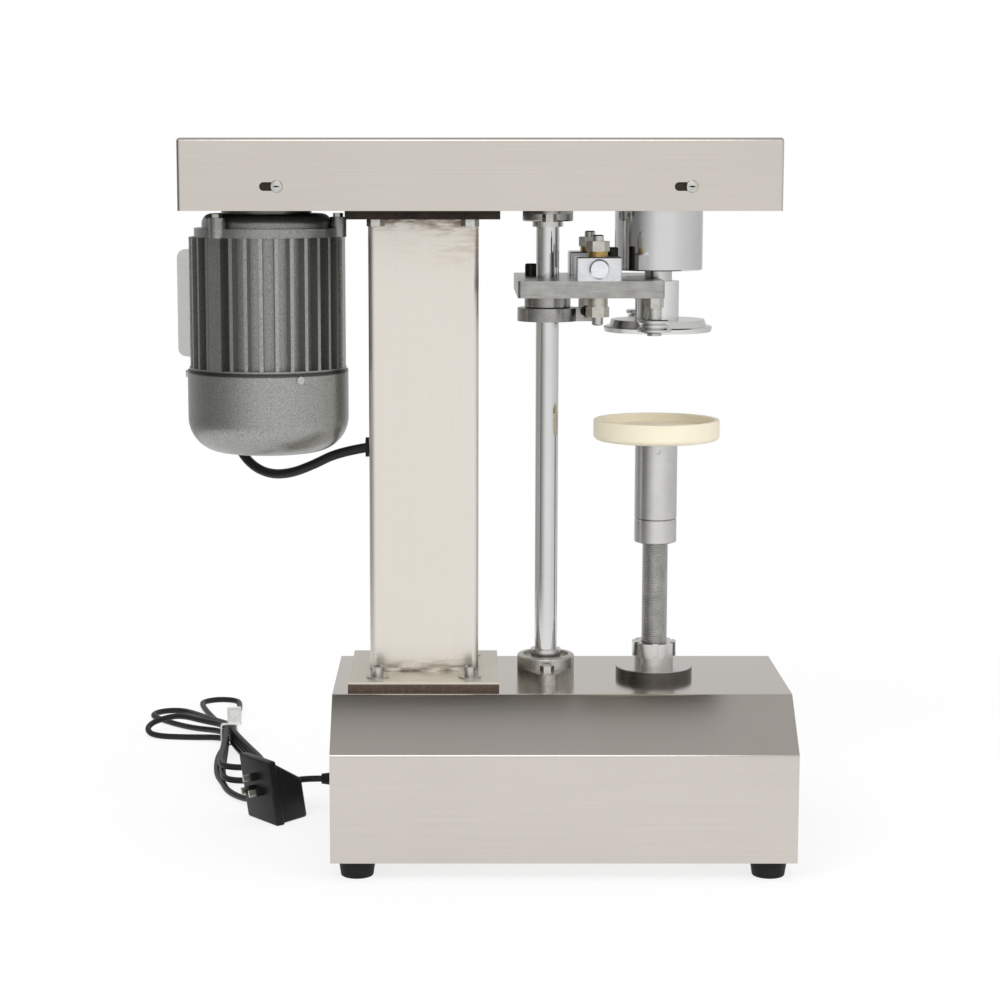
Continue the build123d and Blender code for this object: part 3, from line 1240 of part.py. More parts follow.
# Mains cord: from the base to a tied hank on the floor, ending in its plug
CORD_ROUTE = [
    (BASE_LEFT - GLAND_L, CORD_EXIT_Y, CORD_EXIT_Z),
    (-168, CORD_EXIT_Y, CORD_EXIT_Z),
    (-183, 118, 24),
    (-195, 131, 16),
    (-202, 148, 8),
    (-206, 168, 3.4),
    (-209, 190, 3.4),
    (-216, 212, 3.4),
    (-225, 232, 3.4),
]
TAIL_ROUTE = [
    (-258, 185, 3.4),
    (-252, 160, 3.4),
    (-240, 137, 3.4),
    (-225, 114, 6),
    (-208, 93, PLUG_CORD_Z),
]
with BuildPart() as power_cord:
    for route in (CORD_ROUTE, TAIL_ROUTE):
        cord_run = cord_path(route)
        with BuildSketch(Plane(cord_run @ 0, z_dir=cord_run % 0)):
            Circle(CORD_R)
        sweep(path=cord_run)
save(power_cord, "power_cord")

# The hank is tied at its waist: one fold in front of the tie, three fanned out behind it
TIE_ALONG = (Vector(*TIE_SPOT, 0) - Vector(*FRONT_FOLD, 0)).normalized()
TIE_ACROSS = Vector(-TIE_ALONG.Y, TIE_ALONG.X, 0)
TIE_FLOOR = Plane(Vector(*TIE_SPOT, 0), x_dir=TIE_ACROSS, z_dir=TIE_ALONG)
with BuildPart() as cord_hank:
    with BuildSketch() as front_half:
        with Locations(TIE_SPOT):
            Circle(WAIST_R)
        with Locations(FRONT_FOLD):
            Circle(FRONT_FOLD_R)
        make_hull()
    with BuildSketch() as back_half:
        with Locations(TIE_SPOT):
            Circle(WAIST_R)
            for turn, reach in BACK_FOLDS:
                with PolarLocations(reach, 1, turn):
                    Circle(BACK_FOLD_R)
        make_hull()
    extrude(amount=HANK_H)
    with BuildSketch(TIE_FLOOR):
        Rectangle(WAIST_ROOM, WAIST_ROOM)
        with Locations((0, TIE_T)):
            Rectangle(2 * WAIST_R, HANK_H - TIE_T, align=(Align.CENTER, Align.MIN), mode=Mode.SUBTRACT)
    extrude(amount=TIE_W / 2 + GAP, both=True, mode=Mode.SUBTRACT)
save(cord_hank, "cord_hank")

with BuildPart() as cord_tie:
    with BuildSketch(TIE_FLOOR):
        Rectangle(2 * (WAIST_R + FIT + TIE_T), HANK_H + FIT + TIE_T, align=(Align.CENTER, Align.MIN))
        with Locations((0, TIE_T)):
            Rectangle(2 * (WAIST_R + FIT), HANK_H + FIT - TIE_T, align=(Align.CENTER, Align.MIN),
                      mode=Mode.SUBTRACT)
    extrude(amount=TIE_W / 2, both=True)
save(cord_tie, "cord_tie")

PLUG_ENTRY = Vector(*TAIL_ROUTE[-1][:2], 0)
PLUG_ALONG = (PLUG_ENTRY - Vector(*TAIL_ROUTE[-2][:2], 0)).normalized()
PLUG_LEFT = Vector(PLUG_ALONG.Y, -PLUG_ALONG.X, 0)
PIN_SPOTS = [(-PIN_PITCH / 2, 0), (PIN_PITCH / 2, 0), (0, PIN_PITCH)]
with BuildPart() as power_plug:
    with BuildSketch(Plane(PLUG_ENTRY - PLUG_ALONG * PLUG_SINK, x_dir=-PLUG_LEFT, z_dir=PLUG_ALONG)):
        with Locations((0, PLUG_H / 2)):
            RectangleRounded(PLUG_W, PLUG_H, PLUG_R)
    extrude(amount=PLUG_L)
    pin_face = PLUG_ENTRY + PLUG_ALONG * PLUG_L / 2 + PLUG_LEFT * PLUG_W / 2
    with BuildSketch(Plane(pin_face, x_dir=PLUG_ALONG, z_dir=PLUG_LEFT)):
        with Locations((0, PLUG_H / 2)):
            with Locations(PIN_SPOTS):
                Rectangle(PIN_T, PIN_W)
    extrude(amount=PIN_L)
save(power_plug, "power_plug")
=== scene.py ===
from math import copysign, cos, pi, radians, sin

import bmesh
import bpy
from mathutils import Matrix, Vector


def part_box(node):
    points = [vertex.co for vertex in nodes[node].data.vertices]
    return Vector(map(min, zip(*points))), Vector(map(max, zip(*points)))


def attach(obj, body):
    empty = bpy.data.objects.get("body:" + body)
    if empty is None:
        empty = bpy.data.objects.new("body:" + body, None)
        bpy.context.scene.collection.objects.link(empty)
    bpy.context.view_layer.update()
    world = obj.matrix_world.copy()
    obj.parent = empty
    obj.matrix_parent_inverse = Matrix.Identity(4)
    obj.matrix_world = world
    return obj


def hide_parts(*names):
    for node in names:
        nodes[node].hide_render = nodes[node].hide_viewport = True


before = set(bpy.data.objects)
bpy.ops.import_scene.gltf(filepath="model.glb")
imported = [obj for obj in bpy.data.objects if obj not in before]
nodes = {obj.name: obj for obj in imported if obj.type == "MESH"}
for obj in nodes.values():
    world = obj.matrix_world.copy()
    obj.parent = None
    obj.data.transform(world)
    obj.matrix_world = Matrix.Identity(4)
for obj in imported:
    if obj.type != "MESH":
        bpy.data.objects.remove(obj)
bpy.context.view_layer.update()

# Studio: a seamless white floor under a soft surround, dim overhead and darkened by a flag on its left.
# Lamps and surround are white, so each finish shows the colour that it is written in.


def hex_linear(code):
    """An sRGB hex colour as linear red, green, blue and alpha."""
    parts = [int(code[i:i + 2], 16) / 255 for i in (0, 2, 4)]
    return [p / 12.92 if p <= 0.04045 else ((p + 0.055) / 1.055) ** 2.4 for p in parts] + [1.0]


def add_node(tree, kind, inputs=None, **settings):
    """Adds one node, with its settings, and its inputs set or linked."""
    node = tree.nodes.new(kind)
    for name, value in settings.items():
        setattr(node, name, value)
    for name, value in (inputs or {}).items():
        if isinstance(value, bpy.types.NodeSocket):
            tree.links.new(value, node.inputs[name])
        else:
            node.inputs[name].default_value = value
    return node


def new_material(name):
    """An empty node material, its tree, and the Object coordinates that patterns read."""
    material = bpy.data.materials.new(name)
    material.use_nodes = True
    tree = material.node_tree
    tree.nodes.clear()
    place = add_node(tree, "ShaderNodeTexCoord").outputs["Object"]
    return material, tree, place


def show(tree, shader):
    """Links a finished shader to the material's output."""
    add_node(tree, "ShaderNodeOutputMaterial", {"Surface": shader.outputs[0]})


scene = bpy.context.scene
scene.view_settings.view_transform = "Standard"
SURROUND = "ffffff"
DIFFUSE_SHARE = 0.86
ZENITH = 0.55
SKY_LOW = 0.12
SKY_HIGH = 0.75
FLAG_LOW = 0.30
FLAG_HIGH = 0.60
SIDE_LIGHT = [
    (-180, 0.76), (-130, 0.42), (-95, 0.17), (-60, 0.25), (-35, 0.62), (-12, 0.96), (0, 1.0), (30, 1.0),
    (60, 0.86), (100, 0.74), (140, 0.62), (180, 0.76),
]


def side_light(tree, place):
    """How bright the surround is by compass direction, from the front: a flag dims its left side."""
    axes = add_node(tree, "ShaderNodeSeparateXYZ", {"Vector": place})
    front = add_node(tree, "ShaderNodeMath", {0: axes.outputs["Y"], 1: -1.0}, operation="MULTIPLY")
    turn = add_node(tree, "ShaderNodeMath",
                    {0: axes.outputs["X"], 1: front.outputs[0]}, operation="ARCTAN2")
    share = add_node(tree, "ShaderNodeMapRange", {0: turn.outputs[0], 1: -pi, 2: pi})
    ramp = add_node(tree, "ShaderNodeValToRGB", {0: share.outputs[0]})
    stops = ramp.color_ramp.elements
    for degrees, _ in SIDE_LIGHT[1:-1]:
        stops.new(degrees / 360 + 0.5)
    for stop, (_, level) in zip(stops, SIDE_LIGHT):
        stop.color = (level, level, level, 1)
    return ramp.outputs[0]


world = bpy.data.worlds.new("studio")
scene.world = world
world.use_nodes = True
world_tree = world.node_tree
world_tree.nodes.clear()
light_path = add_node(world_tree, "ShaderNodeLightPath")
sky_place = add_node(world_tree, "ShaderNodeTexCoord")
sky_axes = add_node(world_tree, "ShaderNodeSeparateXYZ", {"Vector": sky_place.outputs["Generated"]})
sky_height = add_node(world_tree, "ShaderNodeMapRange",
                      {0: sky_axes.outputs["Z"], 1: SKY_LOW, 2: SKY_HIGH, 3: 1.0, 4: ZENITH})
flag_share = add_node(world_tree, "ShaderNodeMapRange",
                      {0: sky_axes.outputs["Z"], 1: FLAG_LOW, 2: FLAG_HIGH, 3: 1.0, 4: 0.0})
sky_side = add_node(world_tree, "ShaderNodeMix",
                    {0: flag_share.outputs[0], 2: 1.0,
                     3: side_light(world_tree, sky_place.outputs["Generated"])})
sky_light = add_node(world_tree, "ShaderNodeMath",
                     {0: sky_height.outputs[0], 1: sky_side.outputs[0]}, operation="MULTIPLY")
sky_share = add_node(world_tree, "ShaderNodeMapRange",
                     {0: light_path.outputs["Is Glossy Ray"], 3: DIFFUSE_SHARE, 4: 1.0})
sky_strength = add_node(world_tree, "ShaderNodeMath",
                        {0: sky_light.outputs[0], 1: sky_share.outputs[0]}, operation="MULTIPLY")
seen = add_node(world_tree, "ShaderNodeMath",
                {0: light_path.outputs["Is Camera Ray"], 1: light_path.outputs["Is Transmission Ray"]},
                operation="MAXIMUM")
sky_white = add_node(world_tree, "ShaderNodeMath", {0: sky_strength.outputs[0], 1: seen.outputs[0]},
                     operation="MAXIMUM")
sky = add_node(world_tree, "ShaderNodeBackground",
               {"Color": hex_linear(SURROUND), "Strength": sky_white.outputs[0]})
add_node(world_tree, "ShaderNodeOutputWorld", {"Surface": sky.outputs[0]})

FLOOR_SIZE = 12.0
FLOOR_WHITE = "fafafa"
PAPER_SHADOW = 0.22
SHADOW_NEAR = 0.45
SHADOW_FAR = 1.1
FLAG_NEAR = 0.9
FLAG_FAR = 1.3
floor_form = bmesh.new()
bmesh.ops.create_grid(floor_form, x_segments=1, y_segments=1, size=FLOOR_SIZE)
floor_mesh = bpy.data.meshes.new("floor")
floor_form.to_mesh(floor_mesh)
floor_form.free()
floor = bpy.data.objects.new("floor", floor_mesh)
scene.collection.objects.link(floor)
paper, paper_tree, paper_place = new_material("white_paper")
paper_ray = add_node(paper_tree, "ShaderNodeLightPath")
paper_reach = add_node(paper_tree, "ShaderNodeVectorMath", {0: paper_place}, operation="LENGTH")
paper_clear = add_node(paper_tree, "ShaderNodeMapRange",
                       {0: paper_reach.outputs["Value"], 1: SHADOW_NEAR, 2: SHADOW_FAR,
                        3: 1 - PAPER_SHADOW, 4: 1.0})
paper_seen = add_node(paper_tree, "ShaderNodeMath",
                      {0: paper_ray.outputs["Is Camera Ray"], 1: paper_ray.outputs["Is Glossy Ray"]},
                      operation="MAXIMUM")
paper_share = add_node(paper_tree, "ShaderNodeMath",
                       {0: paper_seen.outputs[0], 1: paper_clear.outputs[0]}, operation="MULTIPLY")
paper_diffuse = add_node(paper_tree, "ShaderNodeBsdfDiffuse", {"Color": hex_linear(FLOOR_WHITE)})
paper_far = add_node(paper_tree, "ShaderNodeMapRange",
                     {0: paper_reach.outputs["Value"], 1: FLAG_NEAR, 2: FLAG_FAR})
paper_flag = add_node(paper_tree, "ShaderNodeMix",
                      {0: paper_far.outputs[0], 2: 1.0, 3: side_light(paper_tree, paper_place)})
paper_bright = add_node(paper_tree, "ShaderNodeMath",
                        {0: paper_flag.outputs[0], 1: paper_ray.outputs["Is Camera Ray"]},
                        operation="MAXIMUM")
paper_glow = add_node(paper_tree, "ShaderNodeEmission",
                      {"Color": hex_linear(SURROUND), "Strength": paper_bright.outputs[0]})
paper_mix = add_node(paper_tree, "ShaderNodeMixShader",
                     {0: paper_share.outputs[0], 1: paper_diffuse.outputs[0], 2: paper_glow.outputs[0]})
show(paper_tree, paper_mix)
floor.data.materials.append(paper)

LAMPS = [
    ("strip", (0.0, -2.1, 1.75), 1.0, 6),
    ("key", (-1.5, -2.2, 2.4), 1.6, 42),
    ("fill", (2.2, -1.8, 1.6), 1.8, 26),
    ("top", (0.2, 0.2, 2.8), 2.2, 28),
]
LAMP_AIM = Vector((0, 0, 0.32))
for lamp_name, spot, size, power in LAMPS:
    lamp_data = bpy.data.lights.new(lamp_name, "AREA")
    lamp_data.size = size
    lamp_data.energy = power
    lamp = bpy.data.objects.new(lamp_name, lamp_data)
    lamp.location = spot
    lamp.rotation_euler = (LAMP_AIM - Vector(spot)).to_track_quat("-Z", "Y").to_euler()
    lamp.visible_glossy = lamp_name == "strip"
    scene.collection.objects.link(lamp)

# Camera: a long lens a little above the belt box, square to the front and looking slightly down.
# A small sideways shift places the machine in the picture without turning the camera.
CAMERA_SPOT = (-0.016, -2.153, 0.629)
CAMERA_DOWN = 8.1
CAMERA_LENS = 84.6
CAMERA_SENSOR = 36.0
CAMERA_SHIFT_X = 0.04
camera_data = bpy.data.cameras.new("camera")
camera_data.lens = CAMERA_LENS
camera_data.sensor_width = CAMERA_SENSOR
camera_data.shift_x = CAMERA_SHIFT_X
camera = bpy.data.objects.new("camera", camera_data)
camera.location = CAMERA_SPOT
camera.rotation_euler = (radians(90 - CAMERA_DOWN), 0, 0)
scene.collection.objects.link(camera)
scene.camera = camera

# Base cabinet: one folded shell of brushed stainless sheet over a floor plate, bent along the slopes.
# The grain runs along the machine, so it shows as faint level streaks and a soft, stretched gloss.
STREAK_SPAN = (0.3, 0.7)
BLEND_SPAN = (0.6, 1.4)
GLOSS_SPREAD = 0.1
SCRATCH_DEEP = 0.00005


def brushed_steel(name, pale, deep, grain_mm, cloud_mm, roughness, relief=0.03):
    """Brushed or turned steel: fine streaks along one direction, over broad soft clouds."""
    material, tree, place = new_material(name)
    stretch = add_node(tree, "ShaderNodeMapping",
                       {"Vector": place, "Scale": [1000 / size for size in grain_mm]})
    lines = add_node(tree, "ShaderNodeTexNoise",
                     {"Vector": stretch.outputs[0], "Scale": 1.0, "Detail": 3.0})
    cloud = add_node(tree, "ShaderNodeTexNoise", {"Vector": place, "Scale": 1000 / cloud_mm, "Detail": 2.0})
    both = add_node(tree, "ShaderNodeMath", {0: lines.outputs[0], 1: cloud.outputs[0]}, operation="ADD")
    share = add_node(tree, "ShaderNodeMapRange", {0: both.outputs[0], 1: BLEND_SPAN[0], 2: BLEND_SPAN[1]})
    colour = add_node(tree, "ShaderNodeMix",
                      {0: share.outputs[0], 6: hex_linear(deep), 7: hex_linear(pale)}, data_type="RGBA")
    gloss = add_node(tree, "ShaderNodeMapRange",
                     {0: lines.outputs[0], 1: STREAK_SPAN[0], 2: STREAK_SPAN[1],
                      3: roughness * (1 - GLOSS_SPREAD), 4: roughness * (1 + GLOSS_SPREAD)})
    scratch = add_node(tree, "ShaderNodeBump",
                       {"Height": lines.outputs[0], "Strength": relief, "Distance": SCRATCH_DEEP})
    metal = add_node(tree, "ShaderNodeBsdfPrincipled",
                     {"Base Color": colour.outputs[2], "Metallic": 1.0, "Roughness": gloss.outputs[0],
                      "Normal": scratch.outputs[0]})
    show(tree, metal)
    return material


def dress(material, *names):
    """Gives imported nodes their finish."""
    for name in names:
        nodes[name].material_slots[0].material = material


LEVEL_GRAIN_MM = (90.0, 1.4, 1.4)
SHEET_CLOUD_MM = 120.0
stainless_sheet = brushed_steel("bright_stainless_sheet", "d0cac3", "cac4bc", LEVEL_GRAIN_MM,
                                SHEET_CLOUD_MM, 0.16, 0.01)
dress(stainless_sheet, "base_shell", "base_floor", "belt_cover")

# Feet: black moulded rubber, screwed up into the base.
# Moulded rubber is matt and a little dusty, so it has a fine grain and no sharp highlight.
DUST_SPAN = (0.35, 0.75)
DIMPLE_DEEP = 0.0003


def moulded(name, face, dust, grain_mm, roughness, relief, shine=0.5):
    """Moulded rubber or plastic: one colour with a fine grain and faint dust."""
    material, tree, place = new_material(name)
    grain = add_node(tree, "ShaderNodeTexNoise", {"Vector": place, "Scale": 1000 / grain_mm, "Detail": 3.0})
    share = add_node(tree, "ShaderNodeMapRange", {0: grain.outputs[0], 1: DUST_SPAN[0], 2: DUST_SPAN[1]})
    colour = add_node(tree, "ShaderNodeMix",
                      {0: share.outputs[0], 6: hex_linear(face), 7: hex_linear(dust)}, data_type="RGBA")
    dimple = add_node(tree, "ShaderNodeBump",
                      {"Height": grain.outputs[0], "Strength": relief, "Distance": DIMPLE_DEEP})
    skin = add_node(tree, "ShaderNodeBsdfPrincipled",
                    {"Base Color": colour.outputs[2], "Roughness": roughness,
                     "Specular IOR Level": shine, "Normal": dimple.outputs[0]})
    show(tree, skin)
    return material


black_rubber = moulded("black_rubber", "111111", "1d1d1c", 1.6, 0.62, 0.25, 0.25)
dress(black_rubber, "rubber_feet", "cable_glands", "drive_belt")

# Fasteners: zinc plated steel screws, bolts and nuts, dull and slightly warm.
# The plating is finely blotched, brighter on the lever bolt and yellowed on the adjuster nuts.
zinc = brushed_steel("zinc_plated_steel", "d6d4cf", "b3b1ab", (1.2, 1.2, 1.2), 6.0, 0.26)
dress(zinc, "foot_screws", "column_top_bolts", "deck_bolts",
      "motor_tie_bolts", "fan_hood_screws", "rod_bearing_bolts", "adjuster_studs", "roller_pins")
dress(brushed_steel("bright_zinc", "f0f2f6", "dcdfe5", (2.0, 2.0, 2.0), 8.0, 0.34), "lever_bolt")
dress(brushed_steel("yellowed_zinc", "d2cfc6", "afaca3", (2.0, 2.0, 2.0), 8.0, 0.3), "adjuster_nuts")

# Column: a stainless tube welded to its foot plate, brushed upright and paler than the sheet.
# The weld leaves brown heat tint in patches above the plate, and rust has run under the top plate.
column_low, column_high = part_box("column_tube")
column_steel, column_tree, column_place = new_material("welded_stainless_tube")
COLUMN_GRAIN_MM = (2.5, 2.5, 120.0)
COLUMN_RELIEF = 0.03
column_stretch = add_node(column_tree, "ShaderNodeMapping",
                          {"Vector": column_place, "Scale": [1000 / size for size in COLUMN_GRAIN_MM]})
column_lines = add_node(column_tree, "ShaderNodeTexNoise",
                        {"Vector": column_stretch.outputs[0], "Scale": 1.0, "Detail": 3.0})
column_base = add_node(column_tree, "ShaderNodeMix",
                       {0: column_lines.outputs[0], 6: hex_linear("e3ded6"), 7: hex_linear("ded8ce")},
                       data_type="RGBA")
TINT_RISE = 0.013
TINT_SPAN = (0.40, 0.62)
TINT_SHARE = (0.08, 0.9)
column_axes = add_node(column_tree, "ShaderNodeSeparateXYZ", {"Vector": column_place})
TINT_PATCH_MM = (16.0, 16.0, 3.5)
column_smear = add_node(column_tree, "ShaderNodeMapping",
                        {"Vector": column_place, "Scale": [1000 / size for size in TINT_PATCH_MM]})
column_patch = add_node(column_tree, "ShaderNodeTexNoise",
                        {"Vector": column_smear.outputs[0], "Scale": 1.0, "Detail": 4.0})
weld_height = add_node(column_tree, "ShaderNodeMapRange",
                       {0: column_axes.outputs["Z"], 1: column_low.z, 2: column_low.z + TINT_RISE,
                        3: 1.0, 4: 0.0})
TOP_TINT_FALL = 0.012
TOP_TINT_EDGE = 0.003
top_height = add_node(column_tree, "ShaderNodeMapRange",
                      {0: column_axes.outputs["Z"], 1: column_high.z - TOP_TINT_FALL,
                       2: column_high.z - TOP_TINT_EDGE})
weld_edge = add_node(column_tree, "ShaderNodeMath",
                     {0: weld_height.outputs[0], 1: top_height.outputs[0]}, operation="MAXIMUM")
weld_patch = add_node(column_tree, "ShaderNodeMapRange",
                      {0: column_patch.outputs[0], 1: TINT_SPAN[0], 2: TINT_SPAN[1],
                       3: TINT_SHARE[0], 4: TINT_SHARE[1]})
weld_share = add_node(column_tree, "ShaderNodeMath",
                      {0: weld_edge.outputs[0], 1: weld_patch.outputs[0]}, operation="MULTIPLY")
column_tinted = add_node(column_tree, "ShaderNodeMix",
                         {0: weld_share.outputs[0], 6: column_base.outputs[2], 7: hex_linear("5a4a3c")},
                         data_type="RGBA")
STAIN_TOP = 0.05
STAIN_SIDE = 0.09
STAIN_EDGE = 0.004
STAIN_SPAN = (0.42, 0.66)
STAIN_MOST = 0.6
stain_height = add_node(column_tree, "ShaderNodeMapRange",
                        {0: column_axes.outputs["Z"], 1: column_high.z - STAIN_TOP, 2: column_high.z})
stain_side = add_node(column_tree, "ShaderNodeMapRange",
                      {0: column_axes.outputs["X"], 1: column_high.x - STAIN_SIDE,
                       2: column_high.x - STAIN_EDGE})
stain_place = add_node(column_tree, "ShaderNodeMath",
                       {0: stain_height.outputs[0], 1: stain_side.outputs[0]}, operation="MULTIPLY")
stain_patch = add_node(column_tree, "ShaderNodeMapRange",
                       {0: column_patch.outputs[0], 1: STAIN_SPAN[0], 2: STAIN_SPAN[1], 4: STAIN_MOST})
stain_share = add_node(column_tree, "ShaderNodeMath",
                       {0: stain_place.outputs[0], 1: stain_patch.outputs[0]}, operation="MULTIPLY")
column_stained = add_node(column_tree, "ShaderNodeMix",
                          {0: stain_share.outputs[0], 6: column_tinted.outputs[2], 7: hex_linear("9a7f60")},
                          data_type="RGBA")
column_bump = add_node(column_tree, "ShaderNodeBump",
                       {"Height": column_lines.outputs[0], "Strength": COLUMN_RELIEF,
                        "Distance": SCRATCH_DEEP})
column_shader = add_node(column_tree, "ShaderNodeBsdfPrincipled",
                         {"Base Color": column_stained.outputs[2], "Metallic": 0.9, "Roughness": 0.30,
                          "Normal": column_bump.outputs[0]})
show(column_tree, column_shader)
dress(column_steel, "column_tube")

# Column plates: a steel foot plate, bright on its upper face, with a painted dark reflection on its edges.
# The top plate keeps its dark mill scale all over; the belt deck gets the same dark colour as painted
# shade, seen through the cover's slots.
plate_low, plate_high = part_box("column_foot_plate")
plate_steel, plate_tree, plate_place = new_material("foot_plate_painted_edge_reflection")
PLATE_MOTTLE_MM = 3.0
PLATE_RELIEF = 0.2
PLATE_DEEP = 0.0002
plate_noise = add_node(plate_tree, "ShaderNodeTexNoise",
                       {"Vector": plate_place, "Scale": 1000 / PLATE_MOTTLE_MM, "Detail": 4.0})
# Painted reflection: the plate's edges are coloured dark and mottled, and only its upper face keeps the
# bright steel colour.
plate_edge_painted_reflection = add_node(plate_tree, "ShaderNodeMix",
                      {0: plate_noise.outputs[0], 6: hex_linear("4c3f37"), 7: hex_linear("74665b")},
                      data_type="RGBA")
plate_top = add_node(plate_tree, "ShaderNodeMix",
                     {0: plate_noise.outputs[0], 6: hex_linear("e4dfd2"), 7: hex_linear("d1cbbd")},
                     data_type="RGBA")
plate_axes = add_node(plate_tree, "ShaderNodeSeparateXYZ", {"Vector": plate_place})
PLATE_SKIN = 0.0012
plate_up = add_node(plate_tree, "ShaderNodeMapRange",
                    {0: plate_axes.outputs["Z"], 1: plate_high.z - 2 * PLATE_SKIN,
                     2: plate_high.z - PLATE_SKIN})
plate_colour = add_node(plate_tree, "ShaderNodeMix",
                        {0: plate_up.outputs[0], 6: plate_edge_painted_reflection.outputs[2], 7: plate_top.outputs[2]},
                        data_type="RGBA")
plate_bump = add_node(plate_tree, "ShaderNodeBump",
                      {"Height": plate_noise.outputs[0], "Strength": PLATE_RELIEF, "Distance": PLATE_DEEP})
plate_shader = add_node(plate_tree, "ShaderNodeBsdfPrincipled",
                        {"Base Color": plate_colour.outputs[2], "Metallic": 0.85, "Roughness": 0.38,
                         "Normal": plate_bump.outputs[0]})
show(plate_tree, plate_shader)
dress(plate_steel, "column_foot_plate")
# Painted shade: the belt deck is coloured dark so that the cover's slots look dark.
dress(brushed_steel("mill_scale_and_painted_shade", "4a413b", "2c2623", (3.0, 3.0, 3.0), 20.0, 0.45),
      "column_top_plate", "belt_deck")

# Column screws: socket head cap screws on plain washers, through the foot plate into the base.
# The new heads have a turned edge and a real hexagon socket.
SMOOTH_TURN = radians(35)
SCREW_SIDES = 32
HEXAGON = 6
MERGE_DISTANCE = 1e-6
LEVEL_WITHIN = 1e-7


def new_piece(name, form, material, body):
    """Finishes a form as a smooth, closed mesh object that rides on its body."""
    bmesh.ops.remove_doubles(form, verts=form.verts, dist=MERGE_DISTANCE)
    bmesh.ops.recalc_face_normals(form, faces=form.faces)
    mesh_data = bpy.data.meshes.new(name)
    form.to_mesh(mesh_data)
    form.free()
    mesh_data.shade_smooth()
    mesh_data.set_sharp_from_angle(angle=SMOOTH_TURN)
    mesh_data.materials.append(material)
    piece = bpy.data.objects.new(name, mesh_data)
    scene.collection.objects.link(piece)
    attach(piece, body)
    return piece


def edges_at(verts):
    """The edges that meet some corners, each once, in the corners' order."""
    return list(dict.fromkeys(edge for vert in verts for edge in vert.link_edges))


def add_lathe(form, profile, place, steps=SCREW_SIDES):
    """Spins a profile of (radius, height) points about its own axis; returns the new corners."""
    verts = [form.verts.new((reach, 0, rise)) for reach, rise in profile]
    edges = [form.edges.new(pair) for pair in zip(verts, verts[1:])]
    known = set(form.verts) - set(verts)
    bmesh.ops.spin(form, geom=verts + edges, cent=(0, 0, 0), axis=(0, 0, 1), angle=2 * pi, steps=steps,
                   use_merge=True, use_duplicate=False)
    turned = [vert for vert in form.verts if vert not in known]
    bmesh.ops.transform(form, matrix=place, verts=turned)
    return turned


def add_screw(form, place, profile, socket, sides, stretch=1.0):
    """A screw along its own axis, with a socket of some sides and (radius, depth) sunk in its head."""
    top = profile[-1][1]
    turned = add_lathe(form, profile, Matrix())
    rim = [edge for edge in edges_at(turned)
           if all(abs(vert.co.z - top) < LEVEL_WITHIN for vert in edge.verts)]
    mouth_place = Matrix.Translation((0, 0, top)) @ Matrix.Diagonal((1, stretch, 1, 1))
    mouth = bmesh.ops.create_circle(form, segments=sides, radius=socket[0], matrix=mouth_place)
    mouth_edges = edges_at(mouth["verts"])
    bmesh.ops.bridge_loops(form, edges=rim + mouth_edges)
    sunk = bmesh.ops.extrude_edge_only(form, edges=mouth_edges)["geom"]
    sunk_verts = [item for item in sunk if isinstance(item, bmesh.types.BMVert)]
    sunk_edges = [item for item in sunk if isinstance(item, bmesh.types.BMEdge)
                  and all(vert in sunk_verts for vert in item.verts)]
    bmesh.ops.translate(form, vec=(0, 0, -socket[1]), verts=sunk_verts)
    bmesh.ops.contextual_create(form, geom=sunk_edges)
    bmesh.ops.transform(form, matrix=place, verts=turned + mouth["verts"] + sunk_verts)


def cap_profile(shank_r, shank_l, head_r, head_h, edge):
    """The outline of a screw with a straight head: shank, head and its turned edge."""
    return [(0, -shank_l), (shank_r, -shank_l), (shank_r, 0), (head_r, 0), (head_r, head_h - edge),
            (head_r - edge, head_h)]


FOOT_PITCH_X = 0.084
FOOT_PITCH_Y = 0.098
FOOT_WASHER_R = 0.0105
FOOT_WASHER_T = 0.0016
FOOT_WASHER_EDGE = 0.0004
FOOT_SHANK = (0.004, 0.0145)
FOOT_HEAD = (0.005, 0.009, 0.0008)
FOOT_SOCKET = (0.0031, 0.005)
foot_middle = (plate_low + plate_high) / 2
foot_form = bmesh.new()
for side_x in (-0.5, 0.5):
    for side_y in (-0.5, 0.5):
        foot_spot = Matrix.Translation((foot_middle.x + side_x * FOOT_PITCH_X, side_y * FOOT_PITCH_Y,
                                        plate_high.z + FOOT_WASHER_T))
        add_screw(foot_form, foot_spot, cap_profile(*FOOT_SHANK, *FOOT_HEAD), FOOT_SOCKET, HEXAGON)
        add_lathe(foot_form, [(FOOT_SHANK[0], 0), (FOOT_WASHER_R - FOOT_WASHER_EDGE, 0),
                              (FOOT_WASHER_R, -FOOT_WASHER_EDGE), (FOOT_WASHER_R, -FOOT_WASHER_T),
                              (FOOT_SHANK[0], -FOOT_WASHER_T)], foot_spot)
foot_bolts = new_piece("foot_cap_screws", foot_form, zinc, "frame")
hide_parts("column_foot_bolts")

# Motor: cast end shield and finned frame with a pressed fan hood, all in dark hammertone paint.
# The paint dries in small raised cells with a metallic fleck. Painted shade darkens the fin grooves and
# the end shield under the belt box, and a dark line is painted along the seam where the hood meets the
# frame.
HAMMER_CELL_MM = 1.7
HAMMER_RELIEF = 0.35
HAMMER_DEEP = 0.0004
FLECK_MM = 0.7
FLECK_SPAN = (0.35, 0.65)
hammertone, hammer_tree, hammer_place = new_material("grey_hammertone_paint")
hammer_cells = add_node(hammer_tree, "ShaderNodeTexVoronoi",
                        {"Vector": hammer_place, "Scale": 1000 / HAMMER_CELL_MM, "Randomness": 1.0},
                        feature="SMOOTH_F1")
hammer_fleck = add_node(hammer_tree, "ShaderNodeTexNoise",
                        {"Vector": hammer_place, "Scale": 1000 / FLECK_MM, "Detail": 2.0})
hammer_share = add_node(hammer_tree, "ShaderNodeMapRange",
                        {0: hammer_fleck.outputs[0], 1: FLECK_SPAN[0], 2: FLECK_SPAN[1]})
hammer_colour = add_node(hammer_tree, "ShaderNodeMix",
                         {0: hammer_share.outputs[0], 6: hex_linear("80817e"), 7: hex_linear("b2b3af")},
                         data_type="RGBA")
